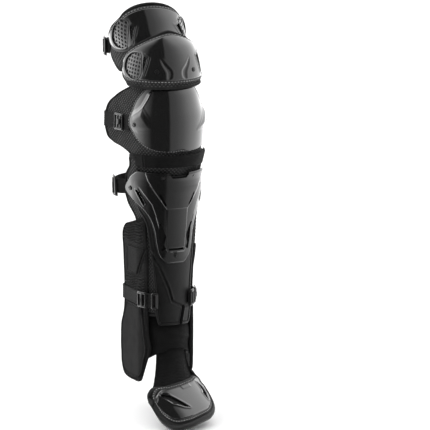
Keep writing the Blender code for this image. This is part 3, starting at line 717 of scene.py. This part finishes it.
def knee_relief(x, z, near):
    """Facets at each side: a slope above, and an arrow that rises to its point."""
    x = -np.abs(x)
    lift = -0.9 * (1 - rise(near, 3.6, 4.8)) * rise(-z, 18, 34)
    lift -= 0.28 * np.clip(-ring_distance(x, z, knee_slope), 0, 8)
    lift += 0.30 * np.clip(-ring_distance(x, z, knee_wedge), 0, 9)
    for crease in (knee_slope[:5], knee_wedge[:5]):
        lift += 0.6 * ridge(line_distance(x, z, crease), 1.0)
    return lift


def knee_pieces():
    """Knee pad, glossy dome with its threads, and the ribbed band under it."""
    over_form("knee_padding", knee, *knee_wing, (150, 170), -LINER, LINER, 3.4, mesh_cloth, "knit_fabric",
              ("knee_pad",), lambda x, z, near: padded_border(near, 6.0, 0.9), corner=10, soft=0.5)
    cap = over_form("knee_shell", knee, *knee_cap, (170, 190), 1.4, SHELL, 1.5, gloss, "gloss_shell",
                    ("knee_plate",), knee_relief, corner=8, gather=0.5)
    seen = [path[path[:, 2] < 42] for path in (inset(cap, 2.3, side) for side in (0, 1, 3))]
    stitches("knee_stitches", seen, 4.4, 2.8, 0.75)
    top, foot = mirrored([(-75, 1.0), (0, 1.0)]), mirrored([(-75, 0.0), (0, 0.0)])

    def ribs(x, z, near):
        """Two bell-curve bars at each end, and fine sine ribs with the height between them."""
        held = np.abs(x) > 58
        fold = 1.0 * ridge(np.abs(x) - 60, 1.4) + 0.9 * ridge(np.abs(x) - 65, 1.4)
        return fold * held + 0.25 * np.sin(z * 2 * pi / 2.6) * (np.abs(x) < 56)

    over_form("knee_elastic_band", band, top, foot, (170, 40), -BAND, BAND, 1.2, stretch, "knit_fabric",
              ("knee_band",), ribs, corner=2, gather=0.3, soft="stretched")


# Shin

shin_wing = sides([(-84, 0.9945), (-88, 0.93), (-99, 0.885), (-111, 0.825), (-114, 0.76), (-107, 0.70),
                   (-86, 0.62), (-79, 0.50), (-78, 0.30), (-76, 0.05)])
shin_front = sides([(-62, 0.885), (-82, 0.80), (-80, 0.735), (-69, 0.68), (-57, 0.627), (-48, 0.503),
                    (-43, 0.387), (-39, 0.22), (-38, 0.06), (-34, 0.003)])
shin_guard = sides([(-66, 0.91), (-86, 0.853), (-101, 0.79), (-84, 0.745), (-69, 0.717), (-49, 0.653),
                    (-39, 0.567), (-35, 0.48), (-30, 0.417), (-17, 0.367)])
shin_vents = [flat(shin, ring) for ring in (
    [(-29, -130), (-26, -131), (-17.5, -150), (-19.5, -153), (-24, -145)],
    [(-29.5, -183), (-26, -184), (-17.2, -207), (-20.5, -221), (-17.2, -229), (-24, -232), (-27.5, -212)],
    [(-69, -127), (-65, -126), (-52, -149), (-54.5, -152)])]
shin_slot = flat(shin, [(-13, -231.5), (13, -231.5), (13, -228), (-13, -228)])
shin_notch = flat(shin, [(-17, -70), (-16, -92), (-10.6, -101.5), (10.6, -101.5), (16, -92), (17, -70)])
shin_bib = flat(shin, [(-60, -60), (-46, -108), (-17, -157), (17, -157), (46, -108), (60, -60)])
shin_frame = flat(shin, [(-62, -120), (-40, -150), (-33, -172), (-27, -196), (-23, -220), (-14, -234),
                         (14, -234), (23, -220), (27, -196), (33, -172), (40, -150), (62, -120)])
shin_column = flat(shin, [(-17, -157), (-17.5, -190), (-15, -228), (15, -228), (17.5, -190), (17, -157)])
shin_vee = flat(shin, [(-42, -116), (-17, -157), (0, -157)])


def shin_relief(x, z, near):
    """Raised bib with a V foot, a column below it, and a frame whose outer flange drops away."""
    lift = 1.7 * rise(-ring_distance(x, z, shin_bib), -0.5, 0.9)
    frame_gap = ring_distance(x, z, shin_frame)
    lift += 1.2 * rise(-frame_gap, -0.6, 1.0) * rise(-z, 112, 130) - 0.07 * np.clip(frame_gap, 0, 12)
    lift += 1.3 * rise(-ring_distance(x, z, shin_column), -0.4, 1.2)
    for line in (shin_frame[2:7], shin_frame[5:10]):
        lift += 0.9 * ridge(line_distance(x, z, line), 0.9)
    lift += 0.8 * ridge(line_distance(-np.abs(x), z, shin_vee), 0.9)
    wing = ring_distance(-np.abs(x), z, shin_vents[2])
    return lift + 1.1 * ridge(wing - 1.2, 1.0) - 0.9 * (1 - rise(near, 1.8, 3.2))


panel_groove = flat(shin, [(-44, -236), (-28, -263), (-12, -301.5), (-6, -323), (18, -334), (11.5, -363)])
panel_facet = flat(shin, [(18, -334), (50, -335), (68, -366), (42, -372), (11.5, -365)])


def panel_relief(x, z, near):
    """Soft front panel: rolled edge, a stitched double groove that turns down, a raised corner."""
    away = line_distance(x, z, panel_groove)
    lift = padded_border(near, 4.0, 0.8) * rise(-z, 150, 170)
    lift += -1.8 * ridge(away, 1.7) + 0.9 * ridge(away - 3.6, 1.2)
    cut = rise(-ring_distance(x, z, panel_facet), 0.0, 2.4)
    split = line_distance(x, z, panel_groove[4:])
    return lift + 1.0 * cut - 1.6 * ridge(split, 2.6)


def shin_pieces():
    """Pad, front panel and moulded shell of the shin, each ruled between its two edges."""
    def shin_pad_relief(x, z, near):
        """Rolled border, plus a shoulder that rises by smooth steps with x and height."""
        shoulder = 3.6 * rise(np.abs(x), 66, 74) * rise(z, -118, -100)
        return padded_border(near, 6.0, 1.0) + shoulder

    over_form("shin_padding", shin, *shin_wing, (190, 130), -LINER, LINER, 3.2, mesh_cloth, "padding",
              ("shin_pad",), shin_pad_relief, corner=8, soft=0.6)
    over_form("shin_front_panel", shin, *shin_front, (190, 130), SEAT, PANEL, 2.2, panel_cloth, "padding",
              ("shin_panel",), panel_relief, corner=6, soft=0.5)
    rings = both_sides(shin_vents) + [shin_slot, shin_notch]
    over_form("shin_shell", shin, *shin_guard, (210, 210), 6.3, SHELL, 1.3, satin, "satin_shell",
              ("shin_plate",), shin_relief, rings, corner=4, gather=0.4)


# Calf flaps and ankle

def flap_relief(x, z, near):
    """Two fields of curved ribs between plain cloth, and a bound border."""
    x = np.abs(x)
    ribs = 1.5 * np.sin(2 * pi * (z + 5.5 * np.sin((x - 62) / 13.0)) / 6.0)
    fields = (rise(-z, 182, 188) * (1 - rise(-z, 222, 228)) + rise(-z, 280, 285) * (1 - rise(-z, 309, 314)))
    strip = 0.5 * np.sin(2 * pi * z / 3.4) * (1 - rise(x, 59.5, 61.5)) * rise(-z, 322, 330)
    return (ribs * fields * rise(x, 61, 64) + strip) * rise(near, 5, 7) + padded_border(near, 5.0, 0.8)


def side_flap(name, side):
    """Calf flap of one side, with its patch, sewn cord and ankle panel."""
    front = [(-58, 1.0), (-58, 0.90), (-56, 0.75), (-57, 0.55), (-57, 0.38), (-55, 0.27), (-51, 0.19),
             (-57, 0.145), (-64, 0.09), (-72, 0.03), (-79, -0.008), (-90, -0.024)]
    rear = [(-126, 0.925), (-137, 0.88), (-139, 0.75), (-139, 0.55), (-142, 0.40), (-152, 0.29),
            (-156, 0.19), (-155, 0.11), (-153, 0.04), (-145, -0.008), (-120, -0.028)]

    def edge(points):
        """Edge of the left flap taken to a side by the sign of its angle."""
        return [(-side * angle, share) for angle, share in points]

    over_form("calf_wing_" + name, calf, edge(front), edge(rear), (220, 90), -FLAP, FLAP, 1.8, knit,
              "knit_fabric", ("calf_flap_" + name,), flap_relief, corner=7, soft=0.4)
    over_form("calf_badge_" + name, calf, edge([(-60, 0.808), (-72, 0.725), (-84, 0.64)]),
              edge([(-120, 0.80), (-122, 0.72), (-123, 0.636)]), (50, 60), 0.5, 1.6, 1.0, smooth_cloth,
              "smooth_panel", ("calf_patch_" + name,),
              lambda x, z, near: 0.8 * ridge(near - 1.4, 0.8) - 0.4 * ridge(near - 3.0, 0.6), corner=4,
              soft="stretched")
    angle, height = np.array([(-56.5, -232), (-69, -255), (-81, -279)]).T
    cord("calf_seam_" + name, on_form(calf, -side * angle, height, 0.9), 0.9)
    over_form("ankle_side_" + name, calf,
              edge([(-72, 0.455), (-68, 0.38), (-64, 0.28), (-60, 0.19), (-66, 0.12), (-75, 0.035),
                    (-90, -0.002)]),
              edge([(-128, 0.455), (-134, 0.40), (-148, 0.30), (-150, 0.20), (-149, 0.12), (-146, 0.04),
                    (-122, -0.004)]),
              (120, 70), 0.4, 1.9, 1.2, smooth_cloth, "smooth_panel", ("ankle_panel_" + name,),
              lambda x, z, near: 1.0 * ridge(near - 1.8, 1.2) - 0.6 * ridge(near - 4.6, 0.8), corner=7,
              soft="stretched")


def cord(name, path, radius):
    """Round cord: a circle carried along a smooth curve and shrunk at both ends."""
    count = max(12, int(lengths_along(path)[-1] / 1.5))
    centre = curve_through(path, np.linspace(0, 1, count), (1.0, 1.0, 1.0))
    run = unit(np.gradient(centre, axis=0))
    side = unit(np.cross(run, centre * np.array([1.0, 1.0, 0.0])))
    up = np.cross(side, run)
    taper = np.sqrt(np.clip(1 - np.linspace(-1, 1, count) ** 16, 0.02, 1))[:, None, None] * radius
    points = round_points(centre, side, up, taper, 10).reshape(-1, 3)
    put_mesh(name, points, round_faces(count, 10), binding)


def cuff_and_tongue():
    """Knitted ankle cuff on its form, and a tongue whose columns are cubic curves to the toe."""
    top = mirrored([(-104, 0.99), (0, 0.99)])
    foot = mirrored([(-104, 0.0), (-73, 0.03), (-35, 0.17), (0, 0.26)])

    def ribs(x, z, near):
        """Fine sine ribs with the height, and bell curves for the border and one slanting fold."""
        fold = 1.2 * ridge(z + 382 + 0.25 * x, 3.0) * rise(x, -32, 0)
        return 0.3 * np.sin(2 * pi * z / 3.2) + 0.4 * ridge(near - 2.6, 1.6) + fold

    over_form("ankle_knit_cuff", ankle, top, foot, (130, 90), -CUFF, CUFF, 1.3, stretch, "knit_fabric",
              ("ankle_cuff",), ribs, corner=4, soft="stretched")
    across, down, reach = 90, 80, 46.0
    top_edge = np.linspace(-reach, reach, across)
    start = on_form(ankle, top_edge, np.full(across, ankle.foot + 0.36 * ankle.height), -CUFF - 2.7)
    rear = curve_through(toe_rear, np.linspace(0, 1, across), (TOE_HALF_WIDTH, TOE_LENGTH))
    long = TOE_LENGTH * 0.45 + (rear[:, 1] - 0.45) * (TOE_LENGTH + 2.0 * TOE_RIM) + 7.0
    end = toe_point(rear[:, 0] * (TOE_HALF_WIDTH + 0.4 * TOE_RIM), long, -6.4)
    fall = start[:, 2:3] - end[:, 2:3]
    held = start - fall * np.array([0.0, 0.0, 0.80])
    met = end + fall * np.array([0.0, 0.08, 0.24])
    t = spread(down, 0.3)[:, None, None]
    places = (1 - t) ** 3 * start + 3 * t * (1 - t) ** 2 * held + 3 * t**2 * (1 - t) * met + t**3 * end
    lengths = runs(places)[0]

    def texture(near):
        """Sine waves down the length that sway with x, within a rolled border."""
        waves = 0.35 * np.sin(2 * pi * lengths / 5.2 + 1.4 * np.sin(places[..., 0] / 3.1))
        return waves * rise(near, 5, 7) + padded_border(near, 5.0, 0.7)

    skin("instep_cloth", places, grid_normals(places, (0, -1, 0.3)), -FLAP, FLAP, 1.6, stretch,
         ("instep_tongue",), texture, None, 4)


def grid_normals(places, toward, spot=None):
    """Unit directions square to a grid, that lie with a given direction at a spot, or at the middle."""
    out = unit(np.cross(np.gradient(places, axis=1), np.gradient(places, axis=0)))
    seen = out[spot or (out.shape[0] // 2, out.shape[1] // 2)]
    return out if seen @ np.asarray(toward, float) > 0 else -out


# Toe

TOE_TURN, TOE_BACK, TOE_TOP, TOE_HALF_WIDTH, TOE_LENGTH = 14, -45, -469, 50, 70
TOE_FALL, TOE_ARCH, TOE_LEAN, TOE_RIM = 42.4, 15.5, 4.5, 8
toe_rear = [(-1.04, 0.10), (-0.97, 0.0), (-0.84, -0.03), (-0.45, 0.10), (0.0, 0.15), (0.5, 0.09),
            (0.94, -0.05), (1.0, 0.05)]
toe_front = [(-1.04, 0.16), (-1.04, 0.56), (-0.86, 0.84), (-0.46, 0.99), (0.0, 1.0),
             (0.4, 0.94), (0.72, 0.76), (0.9, 0.52), (1.0, 0.15)]


def toe_point(across, forward, out=0.0):
    """Toe cap over the foot: slopes down forward, falls away to the sides, turned outward."""
    across, forward = np.asarray(across, float), np.asarray(forward, float)
    turn = radians(TOE_TURN)
    x = across * cos(turn) + forward * sin(turn)
    y = TOE_BACK + across * sin(turn) - forward * cos(turn)
    slope = TOE_FALL / (TOE_LENGTH * 0.85)
    z = TOE_TOP - slope * (forward - 0.15 * TOE_LENGTH) - TOE_ARCH * np.abs(across / TOE_HALF_WIDTH) ** 2.2
    z = z + TOE_LEAN * across / TOE_HALF_WIDTH
    return np.stack([x, y, z + out * (1.0 + slope**2) ** 0.5], axis=-1)


def toe_grid(size, rim, gather=0.5):
    """Across and forward of each point of the cap, ruled from its rear to its front, and widened
    by the rim in step with the distance from its middle.
    """
    along, across = size
    lengths = (TOE_HALF_WIDTH, TOE_LENGTH)
    ends = (curve_through(edge, spread(along, gather), lengths) for edge in (toe_rear, toe_front))
    field = ruled(*ends, spread(across, gather))
    middle = 0.45 * TOE_LENGTH
    wide = field[..., 0] * (TOE_HALF_WIDTH + rim)
    long = middle + (field[..., 1] * TOE_LENGTH - middle) * (1.0 + rim / (0.5 * TOE_LENGTH))
    return wide, long


toe_slots = [np.array([(-41, 10), (-31, 18), (-10, 52), (-17, 48), (-31, 33), (-34, 26)]),
             np.array([(36, 10), (42, 18), (41, 30), (35, 44), (33, 32), (37, 25)])]


def toe_pieces():
    """Padded rim, glossy cap with two slots and threads, and the strap under the shoe."""
    wide, long = toe_grid((190, 80), TOE_RIM)
    places = toe_point(wide, long)

    def rim_roll(near):
        """Half ellipse along the border, with a bell-curve seam behind it."""
        return 2.0 * np.sqrt(np.clip(1 - ((near - 4.5) / 4.5) ** 2, 0, 1)) - 0.8 * ridge(near - 9.6, 0.9)

    skin("toe_padding", places, grid_normals(places, (0, -0.5, 1)), -PAD, PAD, 4.0, binding,
         ("toe_pad",), rim_roll, None, 8)
    wide, long = toe_grid((210, 110), 0.0)
    places = toe_point(wide, long)
    opened = np.any([ring_distance(*middles(wide, long), ring) < 0 for ring in toe_slots], axis=0)

    def cap_relief(near):
        """Step down at the border, a lip round each slot, a raised bar and a raised tab."""
        lift = -0.9 * (1 - rise(near, 4.8, 6.0)) + 0.5 * ridge(near - 6.4, 0.7)
        for ring in toe_slots:
            gap = ring_distance(wide, long, ring)
            lift += 0.9 * ridge(gap - 1.6, 1.2)
        bar = line_distance(wide, long, np.array([(-48, 10), (-24, 6)]))
        tab = ring_distance(wide, long, np.array([(-4, 14), (16, 12), (18, 20), (-1, 22)]))
        return lift + 1.3 * ridge(bar, 1.5) + 0.7 * rise(-tab, -0.3, 0.9)

    cap = skin("toe_shell", places, grid_normals(places, (0, -0.5, 1)), SEAT, SHELL, 1.4, gloss,
               ("toe_plate",), cap_relief, opened, 8)
    paths = [inset(cap, 2.6, side) for side in (0, 1)]
    stitches("toe_stitches", paths, 4.6, 3.1, 0.9, out=(-60, 40.0))
    ends = []
    for forward in (0.30, 0.66):
        left, right = (toe_point(side, forward * TOE_LENGTH, -8.9)[None] for side in (-46.0, 46.0))
        ends.append(ruled(left, right, spread(60, 0.2))[:, 0])
    places = ruled(*ends, spread(24, 0.3))
    skin("toe_webbing", places, grid_normals(places, (0, -0.5, 1)), -WEB, WEB, 0.8, webbing,
         ("toe_strap",), None, None, 2)


# Straps

def route(form, z, start, edge, wide, back):
    """Plan of a strap: along a liner to its rear edge, then half an ellipse round the back of the leg."""
    side = on_form(form, -np.linspace(start, edge, 9), np.full(9, z))[:, :2]
    middle = side[-1, 1] + 0.22 * (back - side[-1, 1])
    table = np.asarray(form.table)
    centre = smooth(table[:, 0], table[:, 4], (z - form.foot) / form.height) * form.side
    turn = np.linspace(0.0, pi, 9)
    rear = np.stack([centre - wide * np.cos(turn), middle + (back - middle) * np.sin(turn)], axis=1)
    other = on_form(form, np.linspace(edge, start, 9), np.full(9, z))[:, :2]
    return np.concatenate([side, rear, other])


def strap_places(form, height, tall, plan, span, size):
    """Grid between the plans of a strap's lower and upper edges, from span[0] to span[1] of its length.

    A span of whole millimetres counts from the left end, or from the right one where it is below zero."""
    along, across = size
    rows = []
    for z in (height - tall / 2, height + tall / 2):
        dense = curve_through(route(form, z, *plan), np.linspace(0, 1, 500))
        run = lengths_along(dense)
        first, last = (end + run[-1] * (end < 0) for end in span or (0.0, run[-1]))
        at = first + (last - first) * spread(along, 0.3)
        rows.append(np.column_stack([on_path(run, dense, at), np.full(along, z)]))
    return ruled(*rows, spread(across, 0.4))


def outward(places):
    """Directions square to a strap, away from the middle of the leg."""
    first = places[0, 2] - np.array([0.0, 45.0, places[0, 2, 2]])
    return grid_normals(places, first, (0, 2))


def straps():
    """Loops of webbing: where each runs on its liner, and how wide and far it goes behind the leg."""
    rows = (
        ("thigh", thigh, 60 + 0.34 * 124, (109.0, 113.0, 57.0, 132.0), 25.0, (12, 29), 1.3),
        ("knee", knee, -65.4 + 0.38 * 131.4, (84.0, 146.0, 74.0, 98.0), 25.0, (14, 38), 1.15),
        ("calf", shin, -366 + 0.79 * 300, (103.5, 106.0, 71.0, 80.0), 25.0, (18, 36), 1.4),
        ("ankle", calf, -465 + 0.50 * 290, (33.0, 139.0, 50.0, 66.0), 24.0, (20, 39), 1.15),
    )
    for title, form, height, plan, width, hook, tall in rows:
        places = strap_places(form, height, width, plan, None, (320, 24))
        lengths = runs(places)[0]

        def selvage(near, lengths=lengths):
            """Bell-curve cord at both edges, and cosine ribs along the length."""
            return 0.35 * ridge(near - 1.6, 1.0) + 0.25 * np.cos(2 * pi * lengths / 4.2)

        skin(title + "_webbing", places, outward(places), SEAT, WEB, 0.8, webbing,
             (title + "_strap",), selvage, None, 1.5)
        for node, span in (("hook", hook), ("anchor", (-hook[1], -hook[0]))):
            fitting(title + "_" + node, (title + "_" + node,), form, height, width * tall, plan, span)
        if title == "ankle":
            for side, span in (("left", (0, 12)), ("right", (-12, -0.01))):
                fitting("ankle_slider_" + side, (), form, height, width * 1.2, plan, span)


def fitting(name, stands_for, form, height, tall, plan, span):
    """Moulded hook plate: a rounded frame, two upright slots, and a raised tongue with a cross bar."""
    places = strap_places(form, height, tall, plan, span, (80, 90))
    down, over = runs(places)
    long = over[:, -1:]
    u, v = over - long / 2, down - down[-1:, :] / 2
    mu, mv = middles(u, v)
    half = span[1] / 2 - span[0] / 2
    reach = tall / 2 - 4.0
    slots = [half - 4.6] if half < 7 else [-half + 5.2, half - 5.2]
    opened = np.zeros(mu.shape, bool)
    for place in slots:
        opened |= (np.abs(mu - (0 if half < 7 else place)) < 1.9) & (np.abs(mv) < reach)

    def body(near):
        """Bell-curve rim, and the higher of the tongue and the cross bar, each cut by smooth steps."""
        rim = 1.0 * ridge(near - 2.0, 1.4)
        if half < 7:
            return rim
        tongue = 2.4 * rise(half - 8.4 - np.abs(u), -0.5, 0.8) * rise(reach * 0.45 - np.abs(v), -0.5, 0.8)
        cross = 1.7 * rise(1.9 - np.abs(u - half + 9.8), -0.4, 0.6) * rise(reach - np.abs(v), -0.5, 0.8)
        return rim + np.maximum(tongue, cross)

    skin(name + "_moulding", places, outward(places), 3.6, SHELL, 1.2, moulded, stands_for,
         body, opened, 4)


def rivets():
    """Each head is a profile turned about the shell's facing: a washer lip, a groove and a dome."""
    upper_top, knee_top = 4.3, 4.7
    shin_top = SEAT + PANEL + knee_top
    pairs = [("upper_knee_rivet", upper, 29, 76.5, upper_top),
             ("knee_rivet", knee, 68, -15, knee_top + 2.6),
             ("shin_wing_rivet", shin, 82, -126, shin_top),
             ("shin_top_rivet", shin, 24, -100, shin_top)]
    rows = [(title + side, form, sign * angle, z, out) for title, form, angle, z, out in pairs
            for side, sign in (("_left", -1), ("_right", 1))]
    rows.append(("shin_bottom_rivet", shin, 0, -241, shin_top))
    profile = np.array([(4.0, -1.2), (4.1, 0.1), (3.8, 0.7), (3.2, 0.8), (2.9, 0.35), (2.6, 0.4),
                        (2.2, 0.9), (1.4, 1.2), (0.6, 1.3), (0.02, 1.32)])
    turn = np.linspace(0, 2 * pi, 24, endpoint=False)
    for node, form, angle, z, out in rows:
        centre = on_form(form, angle, z, out - 0.4)
        up = facing(form, np.float64(angle), np.float64(z))
        side = unit(np.cross(up, (0, 0, 1.0)))
        other = np.cross(up, side)
        ring = (centre + profile[:, None, 1:2] * up + profile[:, None, 0:1]
                * (np.cos(turn)[None, :, None] * side + np.sin(turn)[None, :, None] * other))
        quads = round_faces(len(profile), 24)
        a, b, c = (ring.reshape(-1, 3)[quads[24 * 8, k]] for k in range(3))
        if np.cross(b - a, c - b) @ up < 0:
            quads = quads[:, ::-1]
        thing = put_mesh(node + "_head", ring.reshape(-1, 3), quads, moulded)
        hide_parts(node)


thigh_and_upper_knee()
knee_pieces()
shin_pieces()
side_flap("left", -1.0)
side_flap("right", 1.0)
cuff_and_tongue()
toe_pieces()
straps()
rivets()

# Floor, light and camera

def plain_floor():
    """Wide pale floor under the toe.  Gloss doesn't mirror it, as with black cards round the guard."""
    made = Finish("pale_floor", 0.86, 0.9)
    made.colour(made.noise(made.place(), 3), 0.85, 0.87)
    mesh = bpy.data.meshes.new("floor")
    s, z = 60.0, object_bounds()[0][2] - 0.002
    mesh.from_pydata([(-s, -s, z), (s, -s, z), (s, s, z), (-s, s, z)], [], [(0, 1, 2, 3)])
    mesh.materials.append(made.made)
    thing = placed("floor", mesh)
    thing.visible_glossy = False


def side_light(name, azimuth, height, distance, width, tall, radiance):
    """Soft light at an azimuth from the front, towards +X, that faces the knee."""
    lamp = bpy.data.lights.new(name, "AREA")
    lamp.shape = "RECTANGLE"
    lamp.size, lamp.size_y = width, tall
    lamp.energy = radiance * pi * width * tall
    thing = placed(name, lamp)
    turn = radians(azimuth)
    thing.location = (distance * sin(turn), -distance * cos(turn), height)
    thing.rotation_euler = (Vector((0, 0, -0.1)) - thing.location).to_track_quat("-Z", "Y").to_euler()
    thing.visible_glossy = False


# Brightness of the studio's walls by azimuth, in degrees from the front towards +X
WALLS = [(-180, 3.0), (-150, 6.4), (-122, 4.6), (-100, 2.6), (-85, 1.1), (-66, 0.12), (-14, 0.12),
         (-9, 0.85), (10, 1.1), (30, 1.7), (59, 3.2), (90, 4.0), (125, 4.4), (150, 3.6), (180, 2.0)]
WALLS_MOST = 6.4


def studio():
    """Walls that only gloss mirrors, pale at both sides and black in front, round plain white."""
    world = bpy.data.worlds.new("studio")
    bpy.context.scene.world = world
    made = Nodes(world)
    toward = made.add("ShaderNodeSeparateXYZ", {"Vector": made.place("Generated")}).outputs
    turn = made.maths("ARCTAN2", toward["X"], made.maths("MULTIPLY", toward["Y"], -1.0))
    ramp = made.add("ShaderNodeValToRGB", {"Fac": made.between(turn, 0.0, 1.0, -pi, pi)})
    stops = ramp.color_ramp.elements
    while len(stops) < len(WALLS):
        stops.new(0.5)
    for stop, (azimuth, radiance) in zip(stops, WALLS):
        stop.position = (azimuth + 180) / 360
        stop.color = grey(radiance / WALLS_MOST)
    walls = made.add("ShaderNodeBackground", {"Color": ramp.outputs[0]}, Strength=WALLS_MOST).outputs[0]
    backdrop = made.add("ShaderNodeBackground", Color=grey(1.0)).outputs[0]
    seen = made.add("ShaderNodeLightPath").outputs["Is Camera Ray"]
    mixed = made.add("ShaderNodeMixShader", {0: seen, 1: walls, 2: backdrop}).outputs[0]
    made.links.new(mixed, made.nodes["World Output"].inputs["Surface"])
    world.cycles_visibility.diffuse = False


def top_light():
    """Wide even light from above, which keeps the floor pale all round."""
    lamp = bpy.data.lights.new("top_light", "SUN")
    lamp.angle = radians(110)
    lamp.energy = 3.9
    placed("top_light", lamp).visible_glossy = False


def camera():
    """Long lens 4 metres off, 25 degrees round to -X and 12 degrees up, aimed beside the guard."""
    made = bpy.data.cameras.new("camera")
    thing = placed("camera", made)
    made.sensor_width = 36.0
    made.lens = 197.0
    turn, tip, distance = radians(25), radians(12), 4.0
    sight = Vector((sin(turn) * cos(tip), cos(turn) * cos(tip), -sin(tip)))
    right = Vector((cos(turn), -sin(turn), 0.0))
    centre = right * 0.08755 + right.cross(sight) * -0.17697
    thing.location = centre - sight * distance
    thing.rotation_euler = sight.to_track_quat("-Z", "Y").to_euler()
    made.clip_end = 200.0
    bpy.context.scene.camera = thing


plain_floor()
top_light()
side_light("left_soft_light", -100, 1.0, 2.4, 2.0, 2.6, 1.6)
studio()
bpy.context.scene.view_settings.view_transform = "Standard"
camera()
